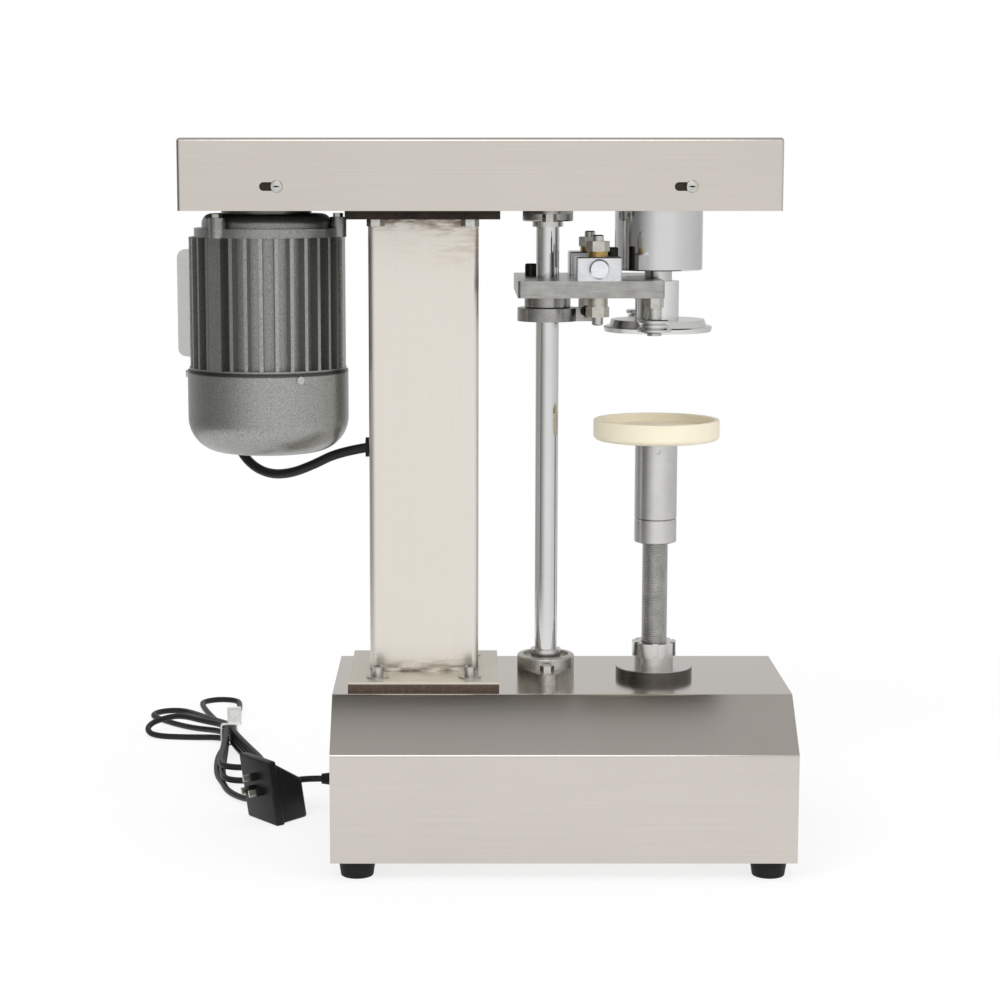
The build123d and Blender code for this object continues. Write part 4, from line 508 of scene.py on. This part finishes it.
hammer_bump = add_node(hammer_tree, "ShaderNodeBump",
                       {"Height": hammer_cells.outputs["Distance"], "Strength": HAMMER_RELIEF,
                        "Distance": HAMMER_DEEP})
motor_low, motor_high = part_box("fan_hood")
motor_middle = (motor_low + motor_high) / 2
# Painted shade: above the hood the paint colour is mixed towards near black, most on the fin roots and the
# end shield.
FIN_SHADE_IN = 0.061
FIN_SHADE_OUT = 0.070
FIN_SHADE_DARK = 0.8
hammer_centre = add_node(hammer_tree, "ShaderNodeMapping",
                         {"Vector": hammer_place, "Location": (-motor_middle.x, -motor_middle.y, 0.0),
                          "Scale": (1.0, 1.0, 0.0)})
hammer_reach = add_node(hammer_tree, "ShaderNodeVectorMath", {0: hammer_centre.outputs[0]},
                        operation="LENGTH")
hammer_axes = add_node(hammer_tree, "ShaderNodeSeparateXYZ", {"Vector": hammer_place})
hammer_fin_shade = add_node(hammer_tree, "ShaderNodeMapRange",
                       {0: hammer_reach.outputs["Value"], 1: FIN_SHADE_IN, 2: FIN_SHADE_OUT, 3: FIN_SHADE_DARK, 4: 1.0})
hammer_hood = add_node(hammer_tree, "ShaderNodeMath",
                       {0: hammer_axes.outputs["Z"], 1: motor_high.z}, operation="LESS_THAN")
hammer_shade_above_hood = add_node(hammer_tree, "ShaderNodeMath",
                        {0: hammer_fin_shade.outputs[0], 1: hammer_hood.outputs[0]}, operation="MAXIMUM")
SEAM_HALF = 0.0012
SEAM_SOFT = 0.0012
SEAM_DARK = 0.15
seam_offset = add_node(hammer_tree, "ShaderNodeMath",
                       {0: hammer_axes.outputs["Z"], 1: motor_high.z}, operation="SUBTRACT")
seam_apart = add_node(hammer_tree, "ShaderNodeMath", {0: seam_offset.outputs[0]}, operation="ABSOLUTE")
hammer_seam = add_node(hammer_tree, "ShaderNodeMapRange",
                       {0: seam_apart.outputs[0], 1: SEAM_HALF, 2: SEAM_HALF + SEAM_SOFT,
                        3: SEAM_DARK, 4: 1.0})
hammer_shade_and_seam = add_node(hammer_tree, "ShaderNodeMath",
                       {0: hammer_shade_above_hood.outputs[0], 1: hammer_seam.outputs[0]}, operation="MULTIPLY")
hammer_shaded_colour = add_node(hammer_tree, "ShaderNodeMix",
                       {0: hammer_shade_and_seam.outputs[0], 6: hex_linear("2b2b2a"), 7: hammer_colour.outputs[2]},
                       data_type="RGBA")
hammer_shader = add_node(hammer_tree, "ShaderNodeBsdfPrincipled",
                         {"Base Color": hammer_shaded_colour.outputs[2], "Metallic": 0.85, "Roughness": 0.30,
                          "Normal": hammer_bump.outputs[0]})
show(hammer_tree, hammer_shader)
dress(hammertone, "motor_shield", "motor_frame", "fan_hood")
dress(moulded("grey_box_plastic", "c4c4c2", "b4b4b1", 1.2, 0.45, 0.12), "terminal_box", "terminal_lid")
dress(moulded("black_fan_plastic", "1a1a1a", "262626", 1.5, 0.5, 0.1), "motor_fan")
turned_steel = brushed_steel("turned_steel", "dad9d6", "c2c1be", (0.8, 0.8, 0.35), 25.0, 0.20)
dress(turned_steel, "motor_rotor", "motor_bearings", "spindle_bearings", "spindle", "thrust_ring",
      "tray_sleeve", "stop_collar", "rod_bearing_rings")
dress(brushed_steel("stacked_laminations", "6f6d6a", "4c4a48", (30.0, 30.0, 0.5), 30.0, 0.5),
      "motor_stator")

# Motor lead: a thick black flexible cable from the terminal box, round under the hood, into the column.
# It hangs free between its two glands, and its points repeat the part's own route.
LEAD_RADIUS = 0.0045
LEAD_ROUTE = [
    (-0.2381, 0.0738, 0.438),
    (-0.2381, 0.0738, 0.413),
    (-0.236, 0.071, 0.389),
    (-0.228, 0.066, 0.366),
    (-0.215, 0.057, 0.349),
    (-0.197, 0.045, 0.341),
    (-0.176, 0.031, 0.343),
    (-0.153, 0.016, 0.353),
    (-0.128, 0.003, 0.367),
    (-0.099, 0.0, 0.372),
]
SHEATH_ROUND = 4
SHEATH_SMOOTH = 8


def new_cord(name, points, radius):
    """A round cord as one smooth spline through its control points."""
    curve = bpy.data.curves.new(name, "CURVE")
    curve.dimensions = "3D"
    curve.bevel_depth = radius
    curve.bevel_resolution = SHEATH_ROUND
    curve.resolution_u = SHEATH_SMOOTH
    curve.use_fill_caps = True
    spline = curve.splines.new("NURBS")
    spline.points.add(len(points) - 1)
    for point, spot in zip(spline.points, points):
        point.co = (*spot, 1)
    spline.order_u = 3
    spline.use_endpoint_u = True
    cord = bpy.data.objects.new(name, curve)
    scene.collection.objects.link(cord)
    return cord


black_sheath = moulded("black_pvc_sheath", "161617", "222223", 0.9, 0.40, 0.1, 0.28)
motor_lead = new_cord("motor_cable", LEAD_ROUTE, LEAD_RADIUS)
motor_lead.data.materials.append(black_sheath)
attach(motor_lead, "frame")
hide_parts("motor_lead")

# Belt drive: two grey iron pulleys inside the cover, hidden but finished.
# Plain iron is dull and grainy, so it has a moulded skin with a coarse relief.
dress(moulded("grey_iron_casting", "6e6b66", "8a8781", 2.2, 0.5, 0.5), "motor_pulley", "spindle_pulley")

# Cover screws: zinc plated pan heads with a driver slot, through the slots in both sides of the cover.
# Each head is turned from one profile, and its slot is sunk into the crown.
cover_low, cover_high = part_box("belt_cover")
COVER_SCREW_X = (-0.175, 0.185)
COVER_SHANK = (0.003, 0.004)
COVER_HEAD_R = 0.0055
COVER_HEAD_H = 0.0035
COVER_CROWN = 5
COVER_WALL = 0.5
COVER_FLAT_R = 0.0044
COVER_ROUND_AT = 0.0045
COVER_SLOT = (0.0034, 0.0008)
COVER_SLOT_SHARE = 0.24
COVER_SLOT_SIDES = 4
pan_profile = [(0, -COVER_SHANK[1]), (COVER_SHANK[0], -COVER_SHANK[1]), (COVER_SHANK[0], 0),
               (COVER_HEAD_R, 0)]
for step in range(COVER_CROWN):
    turn = pi / 2 * step / COVER_CROWN
    pan_profile.append((COVER_ROUND_AT + (COVER_HEAD_R - COVER_ROUND_AT) * cos(turn),
                        COVER_HEAD_H * (COVER_WALL + (1 - COVER_WALL) * sin(turn))))
pan_profile.append((COVER_FLAT_R, COVER_HEAD_H))
pan_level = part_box("cover_screws")
pan_height = (pan_level[0].z + pan_level[1].z) / 2
pan_form = bmesh.new()
for facing in (-1, 1):
    face_turn = Matrix.Rotation(pi / 2 * -facing, 4, "X")
    face_y = cover_low.y if facing < 0 else cover_high.y
    for screw_x in COVER_SCREW_X:
        add_screw(pan_form, Matrix.Translation((screw_x, face_y, pan_height)) @ face_turn, pan_profile,
                  COVER_SLOT, COVER_SLOT_SIDES, COVER_SLOT_SHARE)
pan_screws = new_piece("cover_pan_screws", pan_form, zinc, "frame")
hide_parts("cover_screws")

# Spindle housing and chuck: turned and polished steel, with fine rings round the axis.
# The chuck is left duller than the housing and the rollers.
polished = brushed_steel("polished_steel", "d5d5d4", "cecece", (40.0, 40.0, 0.5), 40.0, 0.11, 0.008)
dress(polished, "spindle_housing", "front_roller", "rear_roller")
dress(brushed_steel("turned_chuck", "e6e6e4", "d6d6d4", (40.0, 40.0, 0.5), 40.0, 0.24, 0.008),
      "seaming_chuck")

# Swing rod: a ground and polished shaft, close to a mirror.
# Its grain runs round the shaft and only takes the edge off the reflections.
dress(brushed_steel("ground_shaft", "dadada", "d2d2d2", (40.0, 40.0, 0.4), 60.0, 0.09, 0.004), "swing_rod")

# Flange bearings: plain grey castings at both ends of the rod, bead blasted and oiled.
# The blast leaves a fine, even speckle that runs in no direction.
blasted = brushed_steel("blasted_casting", "e2dfd9", "aeaba5", (1.5, 1.5, 1.5), 9.0, 0.38)
dress(blasted, "lower_rod_bearing", "upper_rod_bearing")

# Yoke arm: a milled steel bar on its hub and clamp, with tool marks along it.
# Its blocks are milled aluminium, with plain brass washers under the adjuster nuts.
dress(brushed_steel("milled_steel", "b9b8b4", "8e8d89", (14.0, 0.8, 0.8), 14.0, 0.28),
      "yoke_arm", "arm_hub", "arm_clamp")
dress(brushed_steel("milled_aluminium", "e6e7e9", "ccced1", (6.0, 1.0, 1.0), 10.0, 0.30), "adjuster_blocks")
dress(brushed_steel("plain_brass", "c2a468", "97804c", (2.0, 2.0, 0.6), 6.0, 0.28), "adjuster_washers")

# Arm screws: black oxide socket head cap screws in the arm, and the pinch screw of its clamp.
# Each is turned from one profile, with a hexagon socket sunk in its head.
black_oxide = brushed_steel("black_oxide_steel", "3a3936", "232221", (1.2, 1.2, 1.2), 6.0, 0.38)
arm_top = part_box("yoke_arm")[1].z
CAP_SHANK = (0.0035, 0.0148)
CAP_RADIUS = 0.006
CAP_EDGE = 0.0009
CAP_SOCKET = (0.0038, 0.006)
ARM_SCREWS = [((0.050, 0.025), 0.011), ((0.120, -0.034), 0.028)]
PINCH_SPOT = (0.0985, -0.010, 0.498)
PINCH_PROFILE = (0.003, 0.0198, 0.005, 0.006, 0.0007)
PINCH_SOCKET = (0.0031, 0.0035)
cap_form = bmesh.new()
for (screw_x, screw_y), head_h in ARM_SCREWS:
    add_screw(cap_form, Matrix.Translation((screw_x, screw_y, arm_top)),
              cap_profile(*CAP_SHANK, CAP_RADIUS, head_h, CAP_EDGE), CAP_SOCKET, HEXAGON)
add_screw(cap_form, Matrix.Translation(PINCH_SPOT) @ Matrix.Rotation(pi / 2, 4, "X"),
          cap_profile(*PINCH_PROFILE), PINCH_SOCKET, HEXAGON)
cap_screws = new_piece("arm_socket_screws", cap_form, black_oxide, "swing")
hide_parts("arm_cap_screws")

# Lift guide: a turned flange that the lift screw slides through, bright on top and darker at its rim.
# The rim is told from the top by its distance from the axis.
guide_low, guide_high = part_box("lift_guide")
guide_steel, guide_tree, guide_place = new_material("turned_flange")
GUIDE_RIM_R = 0.0349
GUIDE_RIM_SOFT = 0.0004
GUIDE_GRAIN_MM = 2.0
guide_middle = (guide_low + guide_high) / 2
guide_centre = add_node(guide_tree, "ShaderNodeMapping",
                        {"Vector": guide_place, "Location": (-guide_middle.x, -guide_middle.y, 0.0),
                         "Scale": (1.0, 1.0, 0.0)})
guide_reach = add_node(guide_tree, "ShaderNodeVectorMath", {0: guide_centre.outputs[0]}, operation="LENGTH")
guide_rim = add_node(guide_tree, "ShaderNodeMapRange",
                     {0: guide_reach.outputs["Value"], 1: GUIDE_RIM_R, 2: GUIDE_RIM_R + GUIDE_RIM_SOFT})
guide_grain = add_node(guide_tree, "ShaderNodeTexNoise",
                       {"Vector": guide_place, "Scale": 1000 / GUIDE_GRAIN_MM, "Detail": 3.0})
guide_dark = add_node(guide_tree, "ShaderNodeMix",
                      {0: guide_grain.outputs[0], 6: hex_linear("4a4744"), 7: hex_linear("7a7672")},
                      data_type="RGBA")
guide_bright = add_node(guide_tree, "ShaderNodeMix",
                        {0: guide_grain.outputs[0], 6: hex_linear("dcdad5"), 7: hex_linear("c4c2bd")},
                        data_type="RGBA")
guide_colour = add_node(guide_tree, "ShaderNodeMix",
                        {0: guide_rim.outputs[0], 6: guide_bright.outputs[2], 7: guide_dark.outputs[2]},
                        data_type="RGBA")
guide_shader = add_node(guide_tree, "ShaderNodeBsdfPrincipled",
                        {"Base Color": guide_colour.outputs[2], "Metallic": 1.0, "Roughness": 0.25})
show(guide_tree, guide_shader)
dress(guide_steel, "lift_guide")

# Can tray: turned from cream nylon, with faint broad rings and a slightly waxy skin.
# A little light passes under the surface and softens its edges.
cream, cream_tree, cream_place = new_material("cream_nylon")
CREAM_RING_MM = 9.425
CREAM_RELIEF = 0.06
CREAM_DEEP = 0.0001
WAVE_REPEAT = pi / 10
tray_low, tray_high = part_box("can_tray")
tray_centre = (tray_low + tray_high) / 2
cream_centre = add_node(cream_tree, "ShaderNodeMapping",
                        {"Vector": cream_place, "Location": (-tray_centre.x, -tray_centre.y, 0.0)})
cream_rings = add_node(cream_tree, "ShaderNodeTexWave",
                       {"Vector": cream_centre.outputs[0], "Scale": 1000 / CREAM_RING_MM * WAVE_REPEAT,
                        "Distortion": 0.6, "Detail": 2.0},
                       wave_type="RINGS", rings_direction="Z")
CREAM_CLOUD_MM = 25.0
cream_cloud = add_node(cream_tree, "ShaderNodeTexNoise",
                       {"Vector": cream_place, "Scale": 1000 / CREAM_CLOUD_MM, "Detail": 3.0})
cream_colour = add_node(cream_tree, "ShaderNodeMix",
                        {0: cream_cloud.outputs[0], 6: hex_linear("e7e0cc"), 7: hex_linear("dfd6bc")},
                        data_type="RGBA")
cream_bump = add_node(cream_tree, "ShaderNodeBump",
                      {"Height": cream_rings.outputs[0], "Strength": CREAM_RELIEF, "Distance": CREAM_DEEP})
cream_shader = add_node(cream_tree, "ShaderNodeBsdfPrincipled",
                        {"Base Color": cream_colour.outputs[2], "Roughness": 0.42,
                         "Subsurface Weight": 0.12, "Subsurface Scale": 0.004,
                         "Normal": cream_bump.outputs[0]})
show(cream_tree, cream_shader)
dress(cream, "can_tray")

# Lift screw: a steel core with a cut thread between the stop collar and the ring, dulled by old oil.
# The thread has a pitch of 2 mm, the fine pitch of a 24 mm screw, and a small flat on its crest.
screw_low, screw_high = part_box("lift_screw")
screw_axis = Vector(((screw_low.x + screw_high.x) / 2, (screw_low.y + screw_high.y) / 2, 0))
THREAD_CREST = 0.01195
THREAD_ROOT = 0.0111
THREAD_PITCH = 0.002
THREAD_STEPS = 24
THREAD_FLAT = (0.4, 0.6)
THREAD_IN_COLLAR = 0.002
THREAD_IN_RING = 0.004
CORE_SIDES = 48
CORE_OVER = 0.0001
thread_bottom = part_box("stop_collar")[0].z + THREAD_IN_COLLAR
thread_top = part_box("thrust_ring")[0].z + THREAD_IN_RING
thread_turns = int((thread_top - thread_bottom) / THREAD_PITCH)
thread_form = bmesh.new()
thread_profile = [thread_form.verts.new((reach, 0, thread_bottom + rise))
                  for reach, rise in ((THREAD_ROOT, 0), (THREAD_CREST, THREAD_PITCH * THREAD_FLAT[0]),
                                      (THREAD_CREST, THREAD_PITCH * THREAD_FLAT[1]),
                                      (THREAD_ROOT, THREAD_PITCH))]
thread_edges = [thread_form.edges.new(pair) for pair in zip(thread_profile, thread_profile[1:])]
bmesh.ops.spin(thread_form, geom=thread_profile + thread_edges, cent=(0, 0, 0), axis=(0, 0, 1),
               dvec=(0, 0, THREAD_PITCH / THREAD_STEPS), angle=2 * pi * thread_turns,
               steps=THREAD_STEPS * thread_turns, use_merge=False, use_duplicate=False)
bmesh.ops.remove_doubles(thread_form, verts=thread_form.verts, dist=MERGE_DISTANCE)
bmesh.ops.holes_fill(thread_form, edges=[e for e in thread_form.edges if e.is_boundary], sides=0)
core_height = screw_high.z - screw_low.z
bmesh.ops.create_cone(thread_form, cap_ends=True, segments=CORE_SIDES, radius1=THREAD_ROOT + CORE_OVER,
                      radius2=THREAD_ROOT + CORE_OVER, depth=core_height,
                      matrix=Matrix.Translation((0, 0, screw_low.z + core_height / 2)))
bmesh.ops.translate(thread_form, vec=screw_axis, verts=thread_form.verts)
oiled_thread = brushed_steel("oiled_thread", "d0cfcb", "a5a4a0", (1.5, 1.5, 1.5), 12.0, 0.30)
lift_thread = new_piece("lift_screw_thread", thread_form, oiled_thread, "lift")
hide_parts("lift_screw")

# Mains cord: one black PVC sheathed lead from the base's gland, folded into a hank on the floor,
# tied at its waist, and running out to its moulded plug. Six strands pass the tie in three layers.
CORD_RADIUS = 0.00325
CORD_FLOOR = 0.0034
CORD_START = [
    (-0.153, 0.112, 0.028),
    (-0.168, 0.112, 0.028),
    (-0.183, 0.118, 0.024),
    (-0.195, 0.131, 0.016),
    (-0.202, 0.148, 0.008),
    (-0.206, 0.168, 0.0034),
    (-0.209, 0.190, 0.0034),
    (-0.216, 0.212, 0.0034),
    (-0.225, 0.232, 0.0034),
]
CORD_END = [
    (-0.258, 0.185, 0.0034),
    (-0.252, 0.160, 0.0034),
    (-0.240, 0.137, 0.0034),
    (-0.225, 0.114, 0.006),
    (-0.208, 0.093, 0.012),
]
TIE_SPOT = Vector((-0.269, 0.360, 0))
TIE_TURN = radians(100.3)
tie_along = Vector((cos(TIE_TURN), sin(TIE_TURN), 0))
tie_left = Vector((-tie_along.y, tie_along.x, 0))
STRAND_PITCH = 0.0070
LAYER_RISE = 0.0070
WAIST_LIFT = 0.0016
WAIST_HALF = 0.016


def waist(side, layer):
    """Both ends of one strand's straight run through the tie: behind it, then in front of it."""
    spot = TIE_SPOT + tie_left * (side * STRAND_PITCH / 2)
    spot.z = CORD_FLOOR + WAIST_LIFT + layer * LAYER_RISE
    return [spot + tie_along * WAIST_HALF, spot - tie_along * WAIST_HALF]


FOLD_STEPS = 5


def fold(centre, along, radius, height_in, height_out, side):
    """The round end of a fold: a half turn about its centre, from one strand to the other."""
    across = Vector((-along.y, along.x, 0)) * side
    points = []
    for step in range(FOLD_STEPS):
        share = step / (FOLD_STEPS - 1)
        turn = pi * share
        spot = centre + across * (radius * cos(turn)) + along * (radius * sin(turn))
        spot.z = height_in + (height_out - height_in) * share
        points.append(spot)
    return points


def back_fold(turn, reach, radius, side, height_in=CORD_FLOOR):
    """A fold behind the tie, in the direction of its own fan angle."""
    along = Vector((cos(radians(turn)), sin(radians(turn)), 0))
    return fold(TIE_SPOT + along * reach, along, radius, height_in, CORD_FLOOR, side)


def half_way(first, last, height=CORD_FLOOR):
    """The point half way along a strand, at a height of its own."""
    spot = (first + last) / 2
    spot.z = height
    return spot


FRONT_ALONG = -tie_along
FRONT_FOLD_LOW = Vector((-0.237, 0.192, 0))
FRONT_FOLD_HIGH = Vector((-0.242, 0.218, 0))
FRONT_FOLD_R = 0.0232
BACK_FOLD_R = 0.0236
LOW_RISE = CORD_FLOOR + LAYER_RISE
HIGH_RISE = CORD_FLOOR + 2 * LAYER_RISE
RIGHT_FAN = (98.5, 0.187)
MIDDLE_FAN = (121, 0.150)
LEFT_FAN = (147, 0.087)
right_loop = back_fold(*RIGHT_FAN, BACK_FOLD_R, -1)
middle_loop = back_fold(*MIDDLE_FAN, BACK_FOLD_R, 1)
left_loop = back_fold(*LEFT_FAN, BACK_FOLD_R, -1, HIGH_RISE)
low_fold = fold(FRONT_FOLD_LOW, FRONT_ALONG, FRONT_FOLD_R, LOW_RISE, LOW_RISE, 1)
high_fold = fold(FRONT_FOLD_HIGH, FRONT_ALONG, FRONT_FOLD_R, HIGH_RISE, HIGH_RISE, 1)
lead_waist, right_waist, upper_waist = waist(-1, 0), waist(-1, 1), waist(-1, 2)
tail_waist, middle_waist, top_waist = waist(1, 0), waist(1, 1), waist(1, 2)
LEAD_MIDDLE = [Vector((-0.235, 0.262, CORD_FLOOR)), Vector((-0.249, 0.306, CORD_FLOOR))]
TAIL_MIDDLE = [Vector((-0.275, 0.300, CORD_FLOOR)), Vector((-0.271, 0.243, CORD_FLOOR)),
               Vector((-0.266, 0.212, CORD_FLOOR))]
cord_points = [Vector(p) for p in CORD_START] + LEAD_MIDDLE + lead_waist[::-1]
cord_points += [half_way(lead_waist[0], right_loop[0])] + right_loop
cord_points += [half_way(right_loop[-1], right_waist[0])] + right_waist
cord_points += [half_way(right_waist[1], low_fold[0], LOW_RISE)] + low_fold
cord_points += [half_way(low_fold[-1], middle_waist[1], LOW_RISE)] + middle_waist[::-1]
cord_points += [half_way(middle_waist[0], middle_loop[0])] + middle_loop
cord_points += [half_way(middle_loop[-1], upper_waist[0], LOW_RISE)] + upper_waist
cord_points += [half_way(upper_waist[1], high_fold[0], HIGH_RISE)] + high_fold
cord_points += [half_way(high_fold[-1], top_waist[1], HIGH_RISE)] + top_waist[::-1]
cord_points += [half_way(top_waist[0], left_loop[0], HIGH_RISE)] + left_loop
cord_points += [half_way(left_loop[-1], tail_waist[0])] + tail_waist + TAIL_MIDDLE
cord_points += [Vector(p) for p in CORD_END]

cord = new_cord("mains_cord", cord_points, CORD_RADIUS)
cord.data.materials.append(black_sheath)
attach(cord, "frame")
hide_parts("power_cord", "cord_hank")

# Cord tie: a pale nylon strap with a square locking head, pulled tight round the hank's waist.
# The strap is a squared ring with real thickness, and the head has a sunken window in both faces.
STRAP_HALF_W = 0.0092
STRAP_HALF_H = 0.0122
STRAP_WIDE = 0.0048
STRAP_THICK = 0.0012
STRAP_SQUARE = 0.3
STRAP_STEPS = 48
HEAD_SIZE = (0.015, 0.0065, 0.019)
HEAD_EDGE = 0.0015
HEAD_SIDE = 0.006
HEAD_WINDOW = 0.0034
HEAD_DEEP = 0.0025
HEAD_FACING = 0.9
HEAD_EDGE_STEPS = 2
strap_form = bmesh.new()
strap_ring = bmesh.ops.create_circle(strap_form, segments=STRAP_STEPS, radius=1.0)["verts"]
for vert in strap_ring:
    across, up = vert.co.x, vert.co.y
    vert.co = (STRAP_HALF_W * copysign(abs(across) ** STRAP_SQUARE, across), 0,
               STRAP_HALF_H * copysign(abs(up) ** STRAP_SQUARE, up) + STRAP_HALF_H)
strap_out = bmesh.ops.extrude_edge_only(strap_form, edges=strap_form.edges)["geom"]
bmesh.ops.translate(strap_form, vec=(0, STRAP_WIDE, 0),
                    verts=[item for item in strap_out if isinstance(item, bmesh.types.BMVert)])
bmesh.ops.translate(strap_form, vec=(0, -STRAP_WIDE / 2, 0), verts=strap_form.verts)
bmesh.ops.recalc_face_normals(strap_form, faces=strap_form.faces)
bmesh.ops.solidify(strap_form, geom=strap_form.faces[:], thickness=STRAP_THICK)
head_spot = Matrix.Translation((HEAD_SIDE, 0, 2 * STRAP_HALF_H + HEAD_SIZE[2] / 2 - STRAP_THICK))
head_block = head_spot @ Matrix.Diagonal((*HEAD_SIZE, 1))
head_verts = bmesh.ops.create_cube(strap_form, size=1.0, matrix=head_block)["verts"]
head_faces = dict.fromkeys(face for vert in head_verts for face in vert.link_faces)
window = [face for face in head_faces if abs(face.normal.y) > HEAD_FACING]
bmesh.ops.inset_individual(strap_form, faces=window, thickness=HEAD_WINDOW, depth=-HEAD_DEEP)
head_edges = [edge for edge in edges_at(head_verts) if set(edge.verts) <= set(head_verts)]
bmesh.ops.bevel(strap_form, geom=head_edges, offset=HEAD_EDGE / 2, offset_type="OFFSET",
                segments=HEAD_EDGE_STEPS, profile=0.5, affect="EDGES", material=-1)
strap_place = Matrix.Translation(TIE_SPOT) @ Matrix.Rotation(TIE_TURN - pi / 2, 4, "Z")
bmesh.ops.transform(strap_form, matrix=strap_place, verts=strap_form.verts)
clear_nylon = moulded("clear_nylon", "eeeeea", "dadad5", 3.0, 0.35, 0.05)
strap = new_piece("cord_strap", strap_form, clear_nylon, "frame")
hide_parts("cord_tie")

# Mains plug: a moulded black plug lying on its edge and leaning, with a flange round its pin face,
# a ribbed strain relief where the cord enters, and three plated flat pins in black sleeves.
PLUG_WIDE = 0.044
PLUG_LONG = 0.050
PLUG_TALL = 0.060
PLUG_LEAN = 0.26
PLUG_SINK = 0.002
FLANGE_THICK = 0.010
BODY_IN = 0.003
BODY_TAPER = 0.009
PLUG_EDGE = 0.004
BLOCK_EDGE_STEPS = 3
RELIEF_LONG = 0.016
RELIEF_SINK = 0.006
RELIEF_FAT = 0.0060
RELIEF_THIN = 0.0046
RELIEF_RIBS = 4
PIN_LONG = 0.016
SLEEVE_LONG = 0.008
SLEEVE_OVER = 0.0008
PIN_WIDE = 0.0064
PIN_THICK = 0.0017
PIN_PITCH = 0.013
PIN_ROOT = 0.002
PIN_EDGE = 0.0004
RIB_DEEP = 0.0009
RIB_WALL = 0.6
RIB_GROOVE = (0.65, 0.95)
plug_entry = Vector(CORD_END[-1])
plug_along = (Vector((*CORD_END[-1][:2], 0)) - Vector((*CORD_END[-2][:2], 0))).normalized()
plug_out = Vector((plug_along.y, -plug_along.x, 0))
plug_turn = Matrix((plug_out, plug_along, Vector((0, 0, 1)))).transposed().to_4x4()
plug_place = Matrix.Translation((plug_entry.x, plug_entry.y, 0)) @ plug_turn
plug_middle = PLUG_LONG / 2 - PLUG_SINK


def add_block(form, middle, size, edge):
    """Adds a moulded block with rounded edges."""
    block = Matrix.Translation(middle) @ Matrix.Diagonal((*size, 1))
    verts = bmesh.ops.create_cube(form, size=1.0, matrix=block)["verts"]
    bmesh.ops.bevel(form, geom=edges_at(verts), offset=edge, offset_type="OFFSET",
                    segments=BLOCK_EDGE_STEPS, profile=0.5, affect="EDGES", material=-1)


plug_form = bmesh.new()
add_block(plug_form, (PLUG_WIDE / 2 - FLANGE_THICK / 2, plug_middle, PLUG_TALL / 2),
          (FLANGE_THICK, PLUG_LONG, PLUG_TALL), PLUG_EDGE / 2)
body_wide = PLUG_WIDE - FLANGE_THICK + PLUG_EDGE
body_form = bmesh.new()
add_block(body_form, (-PLUG_WIDE / 2 + body_wide / 2, plug_middle, (PLUG_TALL - BODY_IN) / 2),
          (body_wide, PLUG_LONG - 2 * BODY_IN, PLUG_TALL - BODY_IN), PLUG_EDGE)
for vert in body_form.verts:
    share = (PLUG_WIDE / 2 - FLANGE_THICK - vert.co.x) / (PLUG_WIDE - FLANGE_THICK)
    narrow = 1 - max(share, 0) * BODY_TAPER / (PLUG_LONG / 2)
    vert.co.y = plug_middle + (vert.co.y - plug_middle) * narrow
    vert.co.z *= narrow
body_mesh = bpy.data.meshes.new("plug_body")
body_form.to_mesh(body_mesh)
body_form.free()
plug_form.from_mesh(body_mesh)
bpy.data.meshes.remove(body_mesh)
PIN_SPOTS = ((-PIN_PITCH / 2, 0), (PIN_PITCH / 2, 0), (0, PIN_PITCH))
for pin_y, pin_z in PIN_SPOTS:
    add_block(plug_form, (PLUG_WIDE / 2 + SLEEVE_LONG / 2 - PIN_ROOT / 2, PLUG_LONG / 2 + pin_y,
                          PLUG_TALL / 2 + pin_z),
              (SLEEVE_LONG + PIN_ROOT, PIN_THICK + SLEEVE_OVER, PIN_WIDE + SLEEVE_OVER), PIN_EDGE)
plug_pivot = PLUG_TALL / 3
plug_lean = Matrix(((1, 0, 0, 0), (0, 1, -PLUG_LEAN, PLUG_LEAN * plug_pivot),
                    (0, 0, 1, 0), (0, 0, 0, 1)))
bmesh.ops.transform(plug_form, matrix=plug_lean, verts=plug_form.verts)
relief_profile = [(RELIEF_FAT, RELIEF_SINK)]
rib_step = RELIEF_LONG / RELIEF_RIBS
for rib in range(RELIEF_RIBS):
    girth = RELIEF_FAT + (RELIEF_THIN - RELIEF_FAT) * rib / RELIEF_RIBS
    relief_profile += [(girth, -rib_step * (rib + RIB_WALL)),
                       (girth - RIB_DEEP, -rib_step * (rib + RIB_GROOVE[0])),
                       (girth - RIB_DEEP, -rib_step * (rib + RIB_GROOVE[1])),
                       (girth, -rib_step * (rib + 1))]
relief_profile.append((CORD_RADIUS, -RELIEF_LONG - RIB_DEEP))
relief_place = Matrix.Translation((0, 0, plug_entry.z)) @ Matrix.Rotation(-pi / 2, 4, "X")
add_lathe(plug_form, relief_profile, relief_place)
bmesh.ops.transform(plug_form, matrix=plug_place, verts=plug_form.verts)
plug = new_piece("mains_plug", plug_form, black_sheath, "frame")
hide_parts("power_plug")
pin_form = bmesh.new()
for pin_y, pin_z in PIN_SPOTS:
    add_block(pin_form, (PLUG_WIDE / 2 + PIN_LONG / 2 - PIN_ROOT / 2, PLUG_LONG / 2 + pin_y,
                         PLUG_TALL / 2 + pin_z),
              (PIN_LONG + PIN_ROOT, PIN_THICK, PIN_WIDE), PIN_EDGE)
bmesh.ops.transform(pin_form, matrix=plug_place @ plug_lean, verts=pin_form.verts)
pins = new_piece("plug_pins", pin_form, zinc, "frame")
